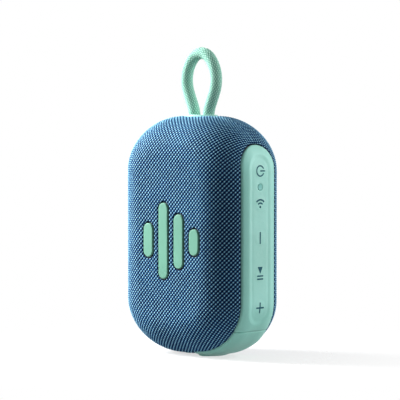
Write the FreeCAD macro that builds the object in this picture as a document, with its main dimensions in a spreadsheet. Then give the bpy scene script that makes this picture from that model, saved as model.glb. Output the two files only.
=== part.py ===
import FreeCAD, Part
import math
import os
import re
import Sketcher
from FreeCAD import Placement, Rotation, Vector

# Portable speaker: a pillow-shaped body wrapped in knit cloth, with a silicone control
# strip down its right side that runs on under the body as a port cover and a foot.
# Frame: +Z up, front face towards -Y, controls towards +X, millimetres.
# The origin is on the surface that the foot stands on, under the middle of the body.

DRIVING_SIZES = {
    # the body's outer form
    "body_width": 82.5, "body_depth": 47.5, "body_height": 119.9, "foot_height": 0.6,
    "corner_across": 33, "corner_up": 27.5, "edge_round": 20,
    # layers, each measured inwards from the outer form
    "cloth_thick": 0.9, "grille_skin": 1.0, "grille_back": 1.9, "case_skin": 2.1,
    "case_back": 4.3, "strip_back": 1.95, "base_back": 1.9, "cover_back": 1.4,
    # the case's split towards the rear, with its seal
    "case_split": 12.5, "seal_thick": 0.5, "seal_skin": 4.9, "seal_back": 6.5,
    # the silicone strip and the keys in it
    "strip_half": 11.5, "strip_gap": 0.35, "strip_top": 106.55, "seam_height": 13.75,
    "seam_gap": 0.15, "island_half": 6.6, "island_low": 17.95, "island_high": 100.85,
    "island_depth": 0.4, "key_radius": 4.3, "key_gap": 0.3, "key_back": 1.5,
    "plunger_radius": 1.4, "plunger_way": 1.9, "key_tip": 36.4, "key_bite": 40.1,
    "light_height": 85.45, "lens_radius": 1.5, "pipe_radius": 0.8, "pipe_tip": 35.3,
    # the base, its foot pad and the port behind its cover
    "base_end": 0.1, "pad_start": 1, "pad_end": 18, "pad_half": 8, "pad_rise": 1.9,
    "stud_across": -8, "stud_radius": 2.6,
    "hinge_angle": 55.3, "port_height": 10.6, "port_mouth": 24.6, "port_half": 4.47,
    "port_rise": 1.6, "port_long": 7.4, "pocket_half": 5.75, "pocket_low": 8.0,
    "pocket_high": 13.2, "tunnel_wall": 1.2,
    # the driver at the front
    "driver_height": 70, "driver_face": -17.5, "flange_thick": 1.6, "flange_radius": 25,
    "well_radius": 25.8, "well_wall": 1.6, "seat_radius": 21.8, "seat_thick": 2,
    "aperture": 20.8, "coil_radius": 10.2, "coil_wall": 0.45, "magnet_radius": 9,
    "pole_radius": 9.6, "gap_radius": 11.5, "yoke_radius": 13, "yoke_back": 2,
    "cone_radius": 17.2, "cone_skin": 0.4, "roll_radius": 19.2, "roll_height": 2,
    "roll_skin": 0.35,
    # the passive radiator at the rear
    "radiator_face": 17.4, "radiator_radius": 24.6, "radiator_well": 25,
    "radiator_seat": 21, "plate_radius": 16.2, "plate_thick": 0.8, "weight_radius": 9,
    "weight_thick": 3.4, "radiator_roll": 18.55, "frame_thick": 1.5,
    # the cell and the boards
    "cell_radius": 9.1, "cell_length": 65, "cell_height": 26.3, "board_thick": 0.8,
    "board_front": 5, "board_half": 20, "board_low": 84, "board_high": 109,
    "key_board_face": 34.4, "key_board_half": 7.5, "key_board_low": 21,
    "key_board_high": 98, "switch_rise": 1.5, "switch_half": 2, "stem_radius": 0.8,
    # the carrying loop
    "cord_radius": 3, "leg_spread": 4.8, "trim_across": 10, "trim_deep": 6,
    "trim_top": 121.1, "trim_foot": 118.45, "trim_gap": 0.3, "cord_way": 0.15,
    "anchor_low": 109.9, "anchor_high": 115.9, "anchor_half": 9.3, "anchor_deep": 4.6,
    "pin_height": 112.6, "pin_radius": 1.1,
    # fasteners and the bosses that they go into
    "boss_radius": 2.7, "case_screw": 1.0, "post_radius": 1.9, "small_screw": 0.7,
}

# Places along the height, or across and up, that repeat one piece
KEYS = {
    "power": 93.45, "pairing": 77.45, "volume_down": 60.45, "play": 42.65, "volume_up": 25.85,
}
CASE_BOSSES = [(-28, 42), (28, 42), (-23.5, 103), (23.5, 103)]
BOARD_POSTS = [(-17, 87), (17, 87), (-17, 106), (17, 106)]
KEY_BOARD_POSTS = [34.2, 51.6, 69]
# The badge is a row of upright bars: (middle across, length)
BADGE_BARS = [(-14.2, 17), (-3.4, 38), (7.4, 27), (18.2, 13)]
BADGE_HEIGHT, BADGE_HALF, BADGE_PROUD, BADGE_GAP = 58.2, 3.2, 0.25, 0.5
# The loop's route from one leg to the other, across and up
LOOP_ROUTE = [(5.6, 124.6), (8.0, 129.6), (10.2, 135.1), (10.5, 140.6), (8.8, 146.0),
              (4.9, 150.9), (0, 152.4)]
OUTSIDE = 60

doc = FreeCAD.newDocument("PortableSpeaker")
sheet = doc.addObject("Spreadsheet::Sheet", "Sizes")
for row, (alias, number) in enumerate(DRIVING_SIZES.items(), start=1):
    sheet.set(f"A{row}", alias)
    sheet.set(f"B{row}", str(number))
    sheet.setAlias(f"B{row}", alias)
doc.recompute()
parts = []


def linked(text):
    """An expression in which each driving size's name points to its cell."""
    return re.sub(r"[a-z_]+", lambda m: "Sizes." * (m[0] in DRIVING_SIZES) + m[0], str(text))


def value(text):
    """The number that an expression of driving sizes comes to."""
    found = sheet.evalExpression(linked(text))
    return float(getattr(found, "Value", found))


def bind(thing, links):
    """Binds properties of an object to expressions of driving sizes."""
    for prop, text in links.items():
        thing.setExpression(prop, linked(text))
    return thing


def keep(thing, label):
    """Makes an object a sub-part, which is written to a file of its own."""
    thing.Label = label
    parts.append(thing)
    return thing


# ---- plain shapes -------------------------------------------------------------------

def block(name, x, y, z):
    """A box from one expression to another along each axis."""
    return bind(doc.addObject("Part::Box", name), {
        "Length": f"({x[1]}) - ({x[0]})", "Placement.Base.x": x[0],
        "Width": f"({y[1]}) - ({y[0]})", "Placement.Base.y": y[0],
        "Height": f"({z[1]}) - ({z[0]})", "Placement.Base.z": z[0]})


TURNS = {"X": Rotation(Vector(0, 1, 0), 90), "Y": Rotation(Vector(1, 0, 0), -90),
         "Z": Rotation()}


def rod(name, axis, at, radius, length):
    """A cylinder that starts at a point and runs along +X, +Y or +Z."""
    thing = doc.addObject("Part::Cylinder", name)
    thing.Placement = Placement(Vector(), TURNS[axis])
    return bind(thing, {"Radius": radius, "Height": length, "Placement.Base.x": at[0],
                        "Placement.Base.y": at[1], "Placement.Base.z": at[2]})


def cone(name, axis, at, radii, length):
    """A cone frustum that starts at a point and runs along +X, +Y or +Z."""
    thing = doc.addObject("Part::Cone", name)
    thing.Placement = Placement(Vector(), TURNS[axis])
    return bind(thing, {"Radius1": radii[0], "Radius2": radii[1], "Height": length,
                        "Placement.Base.x": at[0], "Placement.Base.y": at[1],
                        "Placement.Base.z": at[2]})


def fuse(name, *things):
    thing = doc.addObject("Part::MultiFuse", name)
    thing.Shapes = list(things)
    return thing


def cut(name, base, *tools):
    """The base less one tool, or less several tools joined."""
    thing = doc.addObject("Part::Cut", name)
    thing.Base = base
    thing.Tool = tools[0] if len(tools) == 1 else fuse(name + "_tools", *tools)
    return thing


def common(name, one, other):
    thing = doc.addObject("Part::Common", name)
    thing.Base = one
    thing.Tool = other
    return thing


def group(name, things):
    """Separate solids that share one node."""
    thing = doc.addObject("Part::Compound", name)
    thing.Links = list(things)
    return thing


def ring(name, axis, at, outer, inner, length):
    """A flat ring or a tube."""
    return cut(name, rod(name + "_outer", axis, at, outer, length),
               rod(name + "_bore", axis, at, inner, length))


def oval(name, across, deep, low, high):
    """An upright prism on an ellipse, centred on the body's middle."""
    edge = bind(doc.addObject("Part::Ellipse", name + "_edge"), {
        "MajorRadius": across, "MinorRadius": deep, "Placement.Base.z": low})
    thing = doc.addObject("Part::Extrusion", name)
    thing.Base = edge
    thing.Dir = Vector(0, 0, 1)
    thing.Solid = True
    return bind(thing, {"LengthFwd": f"({high}) - ({low})"})


# ---- sketched shapes ----------------------------------------------------------------

def sketch_on(body, role, name):
    """A sketch on one of the body's own origin planes."""
    sketch = body.newObject("Sketcher::SketchObject", name)
    plane = [f for f in body.Origin.OriginFeatures if f.Role == role][0]
    sketch.AttachmentSupport = [(plane, "")]
    sketch.MapMode = "FlatFace"
    return sketch


def hold(sketch, kind, *where, size):
    """A constraint whose datum follows an expression of driving sizes."""
    index = sketch.addConstraint(Sketcher.Constraint(kind, *where, value(size)))
    sketch.setExpression(f"Constraints[{index}]", linked(size))


def pillow(name, inset):
    """The body's outer form taken inwards: a pad with elliptical corners and round edges."""
    body = doc.addObject("PartDesign::Body", name)
    sketch = sketch_on(body, "XZ_Plane", name + "_outline")
    across, up = f"corner_across - {inset}", f"corner_up - {inset}"
    half_wide, half_tall = f"body_width / 2 - {inset}", f"body_height / 2 - {inset}"
    a, b, w, t = value(across), value(up), value(half_wide), value(half_tall)
    sides = [((a - w, t), (w - a, t)), ((w, t - b), (w, b - t)),
             ((w - a, -t), (a - w, -t)), ((-w, b - t), (-w, t - b))]
    for start, end in sides:
        sketch.addGeometry(Part.LineSegment(Vector(*start, 0), Vector(*end, 0)), False)
    quarter = math.pi / 2
    corners = [(w - a, t - b, 0), (w - a, b - t, -1), (a - w, b - t, -2), (a - w, t - b, 1)]
    for x, z, turn in corners:
        ellipse = Part.Ellipse(Vector(x, z, 0), a, b)
        arc = Part.ArcOfEllipse(ellipse, turn * quarter, (turn + 1) * quarter)
        sketch.addGeometry(arc, False)
    joins = [(0, 2, 4, 2), (4, 1, 1, 1), (1, 2, 5, 2), (5, 1, 2, 1),
             (2, 2, 6, 2), (6, 1, 3, 1), (3, 2, 7, 2), (7, 1, 0, 1)]
    for join in joins:
        sketch.addConstraint(Sketcher.Constraint("Tangent", *join))
    for side in range(4):
        kind = "Horizontal" if side % 2 == 0 else "Vertical"
        sketch.addConstraint(Sketcher.Constraint(kind, side))
    for corner in range(4, 8):
        sketch.exposeInternalGeometry(corner)
    for major in range(8, 24, 4):
        sketch.addConstraint(Sketcher.Constraint("Horizontal", major))
        hold(sketch, "Distance", major, size=f"2 * ({across})")
        hold(sketch, "Distance", major + 1, size=f"2 * ({up})")
    hold(sketch, "DistanceY", -1, 1, 0, 1, size=half_tall)
    hold(sketch, "DistanceY", 2, 1, -1, 1, size=half_tall)
    hold(sketch, "DistanceX", -1, 1, 1, 1, size=half_wide)
    hold(sketch, "DistanceX", 3, 1, -1, 1, size=half_wide)
    pad = body.newObject("PartDesign::Pad", name + "_pad")
    pad.Profile = sketch
    pad.Midplane = True
    bind(pad, {"Length": f"body_depth - 2 * {inset}"})
    doc.recompute()
    depth = value(f"body_depth / 2 - {inset}")
    rims = []
    for index, edge in enumerate(pad.Shape.Edges, start=1):
        if all(abs(abs(v.Y) - depth) < 1e-6 for v in edge.Vertexes):
            rims.append(f"Edge{index}")
    rounding = body.newObject("PartDesign::Fillet", name + "_round")
    rounding.Base = (pad, rims)
    bind(rounding, {"Radius": f"edge_round - {inset}"})
    bind(body, {"Placement.Base.z": "foot_height + body_height / 2"})
    doc.recompute()
    return body


def turned(name, height, outline):
    """A turned piece about an axis along Y: its outline is (radius, depth) points."""
    body = doc.addObject("PartDesign::Body", name)
    sketch = sketch_on(body, "XY_Plane", name + "_outline")
    spots = [Vector(value(r), value(y), 0) for r, y in outline]
    count = len(spots)
    for i in range(count):
        sketch.addGeometry(Part.LineSegment(spots[i], spots[(i + 1) % count]), False)
    for i in range(count):
        join = Sketcher.Constraint("Coincident", i, 2, (i + 1) % count, 1)
        sketch.addConstraint(join)
    for i, (r, y) in enumerate(outline):
        if abs(spots[i].x) < 1e-9:
            sketch.addConstraint(Sketcher.Constraint("PointOnObject", i, 1, -2))
        else:
            hold(sketch, "DistanceX", -1, 1, i, 1, size=r)
        if abs(spots[i].y) < 1e-9:
            sketch.addConstraint(Sketcher.Constraint("PointOnObject", i, 1, -1))
        else:
            hold(sketch, "DistanceY", -1, 1, i, 1, size=y)
    turn = body.newObject("PartDesign::Revolution", name + "_turn")
    turn.Profile = sketch
    turn.ReferenceAxis = (sketch, ["V_Axis"])
    turn.Angle = 360
    bind(body, {"Placement.Base.z": height})
    doc.recompute()
    return body


# ---- the layers of the body ---------------------------------------------------------

def layer(name, skin, back):
    """A closed shell between two depths below the outer form."""
    return cut(name, forms[skin], forms[back])


def band(name, half):
    """The right side's stadium-ended band and its run under the body, as a solid."""
    centre = "strip_top - strip_half"
    turn = "base_end + strip_half"
    side = side_band(name + "_side", half, "seam_height")
    under = fuse(
        name + "_under",
        block(name + "_floor", (turn, OUTSIDE), (f"-({half})", half), (-1, "seam_height")),
        rod(name + "_nose", "Z", (turn, 0, -1), half, "seam_height + 1"))
    return side, under


def side_band(name, half, low, high="strip_top - strip_half"):
    """A band up the right side with a round top end."""
    return fuse(name,
                block(name + "_run", (0, OUTSIDE), (f"-({half})", half), (low, high)),
                rod(name + "_head", "X", (0, 0, high), half, OUTSIDE))


forms = {}
for depth in ("0", "cloth_thick", "grille_skin", "grille_back", "case_skin", "case_back",
              "strip_back", "base_back", "cover_back", "island_depth", "key_back",
              "seal_skin", "seal_back"):
    forms[depth] = pillow("form_" + (depth if depth != "0" else "outer"), depth)

open_side, open_under = band("open_band", "strip_half + strip_gap")
front_half = block("front_half", (-OUTSIDE, OUTSIDE), (-OUTSIDE, -0.1), (-1, 2 * OUTSIDE + 5))
rear_half = block("rear_half", (-OUTSIDE, OUTSIDE), (0.1, OUTSIDE), (-1, 2 * OUTSIDE + 5))
trim_way = oval("trim_way", "trim_across + trim_gap", "trim_deep + trim_gap", "trim_foot - 2",
                "trim_top + 2")


def bar(name, across, long, half, low, high):
    """An upright bar with round ends, between two depths."""
    reach = long / 2 - BADGE_HALF
    ends = [rod(f"{name}_end{side}", "Y", (across, low, BADGE_HEIGHT + side * reach), half,
                f"({high}) - ({low})") for side in (-1, 1)]
    shank = block(name + "_shank", (across - half, across + half), (low, high),
                  (BADGE_HEIGHT - reach, BADGE_HEIGHT + reach))
    return fuse(name, shank, *ends)


# The knit cover: one sleeve of cloth over the whole body, open at the band, the loop's
# trim and the badge
badge_recess = [bar(f"badge_recess{i}", across, long, BADGE_HALF + BADGE_GAP,
                    "-body_depth / 2 - 1", "-body_depth / 2 + grille_skin")
                for i, (across, long) in enumerate(BADGE_BARS)]
keep(cut("cover_cut", layer("cloth_layer", "0", "cloth_thick"), open_side, open_under,
         trim_way, *badge_recess), "fabric_cover")
keep(group("badge_group", [
    bar(f"badge_bar{i}", across, long, BADGE_HALF, f"-body_depth / 2 - {BADGE_PROUD}",
        "-body_depth / 2 + grille_skin - 0.02")
    for i, (across, long) in enumerate(BADGE_BARS)]), "badge_bars")


# The grilles: two pressed shells under the cloth, with a hexagon of sound holes each
HOLE_RINGS, HOLE_PITCH, HOLE_RADIUS = 4, 4.3, 1.2


def sound_holes(name, side):
    """The holes in front of a cone, as one solid group: rings of 6, 12, 18 and 24."""
    centre = Vector(0, 0, value("driver_height"))
    reach = side * value("body_depth / 2 + 1")
    holes = []
    for u in range(-HOLE_RINGS, HOLE_RINGS + 1):
        for v in range(-HOLE_RINGS, HOLE_RINGS + 1):
            if abs(u + v) <= HOLE_RINGS:
                spot = centre + Vector(u + v / 2, 0, v * math.sqrt(3) / 2) * HOLE_PITCH
                holes.append(Part.makeCylinder(HOLE_RADIUS, 4, spot + Vector(0, reach, 0),
                                               Vector(0, -side, 0)))
    thing = doc.addObject("Part::Feature", name)
    thing.Shape = Part.makeCompound(holes)
    return thing


grille_layer = cut("grille_cut", layer("grille_layer", "grille_skin", "grille_back"),
                   open_side, open_under, trim_way)
for side, half in ((-1, front_half), (1, rear_half)):
    word = "front" if side < 0 else "rear"
    keep(cut(word + "_grille_cut", common(word + "_grille_half", grille_layer, half),
             sound_holes(word + "_holes", side)), word + "_grille")

# ---- the control strip, its keys and the base ---------------------------------------

strip_side = side_band("strip_side", "strip_half", "seam_height + seam_gap")
island = fuse("island",
              side_band("island_up", "island_half", "island_low + island_half",
                        "island_high - island_half"),
              rod("island_foot", "X", (0, 0, "island_low + island_half"), "island_half", OUTSIDE))
island_dip = cut("island_dip", island, forms["island_depth"])
key_ways = [rod(f"{key}_way", "X", (30, 0, height), "key_radius + key_gap", OUTSIDE)
            for key, height in KEYS.items()]
light_way = rod("light_way", "X", (30, 0, "light_height"), "lens_radius + 0.05", OUTSIDE)
keep(cut("strip_cut", common("strip_layer", layer("strip_shell", "0", "strip_back"), strip_side),
         island_dip, light_way, *key_ways), "control_strip")

cap_layer = layer("cap_layer", "island_depth", "key_back")
for key, height in KEYS.items():
    disc = rod(key + "_disc", "X", (30, 0, height), "key_radius", OUTSIDE)
    plunger = rod(key + "_plunger", "X", ("key_tip", 0, height), "plunger_radius",
                  "key_bite - key_tip")
    keep(fuse(key + "_cap", common(key + "_face", cap_layer, disc), plunger), key + "_key")

lens_disc = rod("lens_disc", "X", (30, 0, "light_height"), "lens_radius", OUTSIDE)
light_pipe = rod("light_pipe", "X", ("pipe_tip", 0, "light_height"), "pipe_radius",
                 "key_bite - pipe_tip")
lens_layer = layer("lens_layer", "island_depth", "strip_back")
keep(fuse("lens_solid", common("lens_face", lens_layer, lens_disc), light_pipe), "led_lens")

# The base's moulding is split at the living hinge of its port cover, square to the skin
corner_x = value("body_width / 2 - corner_across")
corner_z = value("foot_height + corner_up")
hinge_turn = math.radians(value("hinge_angle"))
hinge_spot = Vector(corner_x + value("corner_across") * math.cos(hinge_turn), 0,
                    corner_z - value("corner_up") * math.sin(hinge_turn))
hinge_slope = math.degrees(math.atan2(value("corner_up") * math.cos(hinge_turn),
                                      value("corner_across") * math.sin(hinge_turn)))


def beyond_hinge(name, side, gap):
    """A large block on one side of the hinge, square to the skin there."""
    thing = doc.addObject("Part::Box", name)
    for prop in ("Length", "Width", "Height"):
        setattr(thing, prop, OUTSIDE)
    turn = Rotation(Vector(0, 1, 0), -hinge_slope)
    corner = Vector(gap if side > 0 else -gap - OUTSIDE, -OUTSIDE / 2, -OUTSIDE / 2)
    thing.Placement = Placement(hinge_spot + turn.multVec(corner), turn)
    return thing


base_turn = "base_end + strip_half"
under_band = fuse(
    "under_band",
    block("under_run", (base_turn, OUTSIDE), ("-strip_half", "strip_half"),
          (-1, "seam_height - seam_gap")),
    rod("under_nose", "Z", (base_turn, 0, -1), "strip_half", "seam_height - seam_gap + 1"))
base_layer = common("base_layer", layer("base_shell", "0", "base_back"), under_band)
pad_end = "pad_end - pad_half"
pad_form = fuse("pad_form",
                block("pad_run", ("pad_start + pad_half", pad_end), ("-pad_half", "pad_half"),
                      (0, "pad_rise")),
                rod("pad_nose", "Z", ("pad_start + pad_half", 0, 0), "pad_half", "pad_rise"),
                rod("pad_tail", "Z", (pad_end, 0, 0), "pad_half", "pad_rise"))
pad_solid = cut("pad_solid", pad_form, forms["base_back"])
foot_solid = fuse("foot_solid", common("base_fixed", base_layer,
                                       beyond_hinge("fixed_side", -1, 0.1)), pad_solid)
# the foot lies to the right of the middle, so a stud bonded to the cloth holds the left up
stud_form = rod("stud_form", "Z", ("stud_across", 0, 0), "stud_radius", "foot_height + 0.5")
keep(group("foot_group", [foot_solid, cut("stud_solid", stud_form, forms["0"])]), "base_foot")
cover_layer = common("cover_layer", layer("cover_shell", "0", "cover_back"), under_band)
keep(common("cover_solid", cover_layer, beyond_hinge("cover_side", 1, 0.1)), "port_cover")
print("port cover hinge at", round(hinge_spot.x, 4), round(hinge_spot.z, 4))

# ---- the case -----------------------------------------------------------------------

def in_case(name, thing):
    """A thing trimmed to the case's outer form."""
    return common(name, thing, forms["case_skin"])


case_layer = layer("case_layer", "case_skin", "case_back")
case_front = block("case_front", (-OUTSIDE, OUTSIDE), (-OUTSIDE, "case_split"),
                   (-1, 2 * OUTSIDE + 5))
case_rear = block("case_rear", (-OUTSIDE, OUTSIDE), ("case_split + seal_thick", OUTSIDE),
                  (-1, 2 * OUTSIDE + 5))
seat_face = "driver_face + flange_thick"
front_well = fuse(
    "front_well",
    ring("front_well_wall", "Y", (0, -24, "driver_height"), "well_radius + well_wall",
         "well_radius", f"24 + {seat_face} + seat_thick"),
    ring("front_seat", "Y", (0, seat_face, "driver_height"), "well_radius + well_wall",
         "seat_radius", "seat_thick"))
bosses = [rod(f"case_boss{i}", "Y", (x, -22, z), "boss_radius", "22 + case_split")
          for i, (x, z) in enumerate(CASE_BOSSES)]
posts = [rod(f"board_post{i}", "Y", (x, f"{seat_face} + seat_thick / 2" if z < 90 else -22, z),
             "post_radius", f"board_front - ({seat_face} + seat_thick / 2)" if z < 90
             else "board_front + 22") for i, (x, z) in enumerate(BOARD_POSTS)]
key_posts = [rod(f"key_post{i}", "X", ("key_board_face", 0, z), 2, "38 - key_board_face")
             for i, z in enumerate(KEY_BOARD_POSTS)]
tunnel = block("port_tunnel", ("port_mouth - 1", 33),
               ("-pocket_half - tunnel_wall", "pocket_half + tunnel_wall"),
               ("pocket_low - tunnel_wall", "pocket_high + tunnel_wall"))
pocket = block("port_pocket", ("port_mouth", OUTSIDE), ("-pocket_half", "pocket_half"),
               ("pocket_low", "pocket_high"))
socket_way = block("socket_way", ("port_mouth - 9", "port_mouth + 1"),
                   ("-port_half - 0.1", "port_half + 0.1"),
                   ("port_height - port_rise - 0.1", "port_height + port_rise + 0.1"))
boss_pilots = [rod(f"case_pilot{i}", "Y", (x, "case_split - 9", z), "case_screw", 10)
               for i, (x, z) in enumerate(CASE_BOSSES)]
post_pilots = [rod(f"board_pilot{i}", "Y", (x, "board_front - 4", z), "small_screw", 5)
               for i, (x, z) in enumerate(BOARD_POSTS)]
key_pilots = [rod(f"key_pilot{i}", "X", ("key_board_face - 1", 0, z), "small_screw", 3)
              for i, z in enumerate(KEY_BOARD_POSTS)]
seat_pilots, SCREW_TURN = [], math.pi / 4
DRIVER_PITCH, RADIATOR_PITCH = 23.4, 22.8


def around(pitch):
    """Four places about the driver's axis, at the corners of a square: across and up."""
    turns = [SCREW_TURN + quarter * math.pi / 2 for quarter in range(4)]
    return [(pitch * math.cos(turn), f"driver_height + ({pitch * math.sin(turn)})")
            for turn in turns]


for i, (x, z) in enumerate(around(DRIVER_PITCH)):
    seat_pilots.append(rod(f"seat_pilot{i}", "Y", (x, "driver_face", z), "small_screw", 6))
plunger_ways = [rod(f"{key}_plunger_way", "X", (35, 0, height), "plunger_way", 8)
                for key, height in KEYS.items()]
pipe_way = rod("pipe_way", "X", (35, 0, "light_height"), "pipe_radius + 0.3", 8)
cord_ways = [rod(f"cord_way{side}", "Z", (f"{side} * leg_spread", 0, 114),
                 "cord_radius + cord_way", 10) for side in (-1, 1)]
case_shell = cut("case_shell", common("case_half", case_layer, case_front),
                 rod("case_opening", "Y", (0, -OUTSIDE, "driver_height"), "well_radius",
                     OUTSIDE - 16))
keep(cut("case_cut", fuse("case_solid", case_shell,
                          *[in_case(f"case_part{i}", thing) for i, thing in enumerate(
                              [front_well, tunnel, *bosses, *posts, *key_posts])]),
         pocket, socket_way, *boss_pilots, *post_pilots, *key_pilots, *seat_pilots,
         *plunger_ways, pipe_way, *cord_ways), "main_housing")

seal_band = block("seal_band", (-OUTSIDE, OUTSIDE),
                  ("case_split + 0.02", "case_split + seal_thick - 0.02"),
                  (-1, 2 * OUTSIDE + 5))
keep(common("seal_solid", layer("seal_layer", "seal_skin", "seal_back"), seal_band),
     "housing_seal")

rear_seat = "radiator_face - frame_thick"
rear_well = fuse(
    "rear_well",
    ring("rear_well_wall", "Y", (0, f"{rear_seat} - seat_thick", "driver_height"),
         "radiator_well + well_wall", "radiator_well", 12),
    ring("rear_seat", "Y", (0, f"{rear_seat} - seat_thick", "driver_height"),
         "radiator_well + well_wall", "radiator_seat", "seat_thick"))
rear_bosses = [rod(f"rear_boss{i}", "Y", (x, "case_split + seal_thick", z), "boss_radius", 10)
               for i, (x, z) in enumerate(CASE_BOSSES)]
SCREW_SEAT = 16.2
rear_screw_ways = [rod(f"rear_screw_way{i}", "Y", (x, 10, z), "case_screw + 0.2", 15)
                   for i, (x, z) in enumerate(CASE_BOSSES)]
rear_head_ways = [rod(f"rear_head_way{i}", "Y", (x, SCREW_SEAT, z), "boss_radius - 0.7", 10)
                  for i, (x, z) in enumerate(CASE_BOSSES)]
rear_pilots = [rod(f"rear_pilot{i}", "Y", (x, f"{rear_seat} - 1.5", z), "small_screw", 3)
               for i, (x, z) in enumerate(around(RADIATOR_PITCH))]
rear_shell = cut("rear_shell", common("rear_case_half", case_layer, case_rear),
                 rod("rear_opening", "Y", (0, 16, "driver_height"), "radiator_well", OUTSIDE))
keep(cut("baffle_cut", fuse("baffle_solid", rear_shell,
                            *[in_case(f"rear_part{i}", thing)
                              for i, thing in enumerate([rear_well, *rear_bosses])]),
         *rear_screw_ways, *rear_head_ways, *rear_pilots), "rear_baffle")

# ---- screws -------------------------------------------------------------------------

def screws(label, axis, places, radius, long, head, sense=1):
    """A group of screws: each head sits on its place, its shank runs the other way."""
    solids = []
    for i, (x, y, z) in enumerate(places):
        at = "XYZ".index(axis)
        seat, foot = [x, y, z], [x, y, z]
        rise = f"({radius}) * 0.9"
        if sense > 0:
            foot[at] = f"({foot[at]}) - {long}"
        else:
            seat[at] = f"({seat[at]}) - {rise}"
        solids.append(fuse(f"{label}_screw{i}",
                           rod(f"{label}_head{i}", axis, seat, head, rise),
                           rod(f"{label}_shank{i}", axis, foot, radius, long)))
    keep(group(label + "_group", solids), label)


screws("housing_screws", "Y", [(x, SCREW_SEAT, z) for x, z in CASE_BOSSES],
       "case_screw - 0.05", 11, "boss_radius - 0.9")
screws("driver_screws", "Y", [(x, "driver_face - 0.6", z) for x, z in around(DRIVER_PITCH)],
       "small_screw - 0.05", 4, "small_screw * 1.9", -1)
screws("radiator_screws", "Y", [(x, "radiator_face", z) for x, z in around(RADIATOR_PITCH)],
       "small_screw - 0.05", 2.9, "small_screw * 1.9")
screws("board_screws", "Y", [(x, "board_front + board_thick", z) for x, z in BOARD_POSTS],
       "small_screw - 0.05", 4, "small_screw * 1.9")
screws("key_board_screws", "X", [("key_board_face - board_thick", 0, z) for z in KEY_BOARD_POSTS],
       "small_screw - 0.05", 2.6, "small_screw * 1.9", -1)

# ---- the driver ---------------------------------------------------------------------

axis = "driver_height"
top_face, rim = "driver_face", "driver_face + flange_thick"
flange_holes = [rod(f"flange_hole{i}", "Y", (x, "driver_face - 2", z), "small_screw + 0.15", 6)
                for i, (x, z) in enumerate(around(DRIVER_PITCH))]
keep(cut("basket_cut", turned("basket_form", axis, [
    ("aperture", top_face), ("flange_radius", top_face), ("flange_radius", rim),
    ("aperture + 0.6", rim), (17.4, -9.2), (15.8, -6.2), (14.6, -5), ("yoke_radius + 0.02", -5),
    ("yoke_radius + 0.02", -6), (14.2, -6), (15, -7), (15.4, -8.2), (16.4, -8.2),
    (16.8, -9.4), ("aperture", rim)]), *flange_holes), "driver_basket")
keep(turned("yoke", axis, [
    (0, "yoke_back"), (0, 0), ("gap_radius", 0), ("gap_radius", -6), ("yoke_radius", -6),
    ("yoke_radius", "yoke_back - 1"), ("yoke_radius - 1", "yoke_back")]), "magnet_yoke")
keep(rod("magnet_disc", "Y", (0, -4, axis), "magnet_radius", 4), "driver_magnet")
keep(rod("pole_disc", "Y", (0, -6, axis), "pole_radius", 2), "pole_plate")
keep(ring("coil_tube", "Y", (0, -13, axis), "coil_radius + coil_wall", "coil_radius", 9.6),
     "voice_coil")
keep(turned("spider_form", axis, [
    ("coil_radius + coil_wall", -9.6), (12, -10.4), (13.2, -9.2), (14.4, -10.4), (15.4, -9.7),
    (16.3, -9.7), (16.3, -9.3), (15.5, -9.3), (14.4, -10), (13.2, -8.8), (12, -10),
    ("coil_radius + coil_wall", -9.2)]), "driver_spider")
keep(turned("cone_form", axis, [
    ("coil_radius + coil_wall", -13), ("cone_radius", "driver_face + cone_skin"),
    ("cone_radius + 0.5", "driver_face + cone_skin"), ("cone_radius + 0.5", "driver_face"),
    ("cone_radius", "driver_face"), ("coil_radius + coil_wall", "-13 - cone_skin")]),
     "driver_cone")


def dome(name, radius, rise, skin, base):
    """A thin spherical cap that bulges towards the front, cut from two balls."""
    ball = f"({radius} * {radius} + {rise} * {rise}) / (2 * {rise})"
    shells = []
    for word, less in (("ball", "0"), ("hollow", skin)):
        sphere = bind(doc.addObject("Part::Sphere", f"{name}_{word}"), {
            "Radius": f"{ball} - {less}", "Placement.Base.y": f"{base} - {rise} + {ball}",
            "Placement.Base.z": axis})
        shells.append(sphere)
    return common(name, cut(name + "_shell", *shells),
                  rod(name + "_limit", "Y", (0, f"{base} - {rise} - 1", axis), radius,
                      f"{rise} + 1"))


keep(dome("cap_dome", "(coil_radius + coil_wall)", 2.4, "0.35", "(-13 - cone_skin)"), "dust_cap")


def roll(name, radius, half, face, inner, outer, side):
    """A half-round roll of thin rubber with a flat lip at each edge."""
    tori = []
    for word, less in (("skin", "0"), ("hollow", "roll_skin")):
        torus = doc.addObject("Part::Torus", f"{name}_{word}")
        torus.Placement = Placement(Vector(), TURNS["Y"])
        tori.append(bind(torus, {"Radius1": radius, "Radius2": f"{half} - {less}",
                                 "Placement.Base.y": face, "Placement.Base.z": axis}))
    start = f"{face} - 5" if side < 0 else face
    arch = common(name + "_arch", cut(name + "_tube", *tori),
                  rod(name + "_limit", "Y", (0, start, axis), 30, 5))
    lip_start = f"{face} - roll_skin" if side < 0 else face
    inner_lip = ring(name + "_inner_lip", "Y", (0, lip_start, axis), f"{radius} - {half} + roll_skin",
                     inner, "roll_skin")
    outer_lip = ring(name + "_outer_lip", "Y", (0, lip_start, axis), outer,
                     f"{radius} + {half} - roll_skin", "roll_skin")
    return fuse(name, arch, inner_lip, outer_lip)


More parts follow.
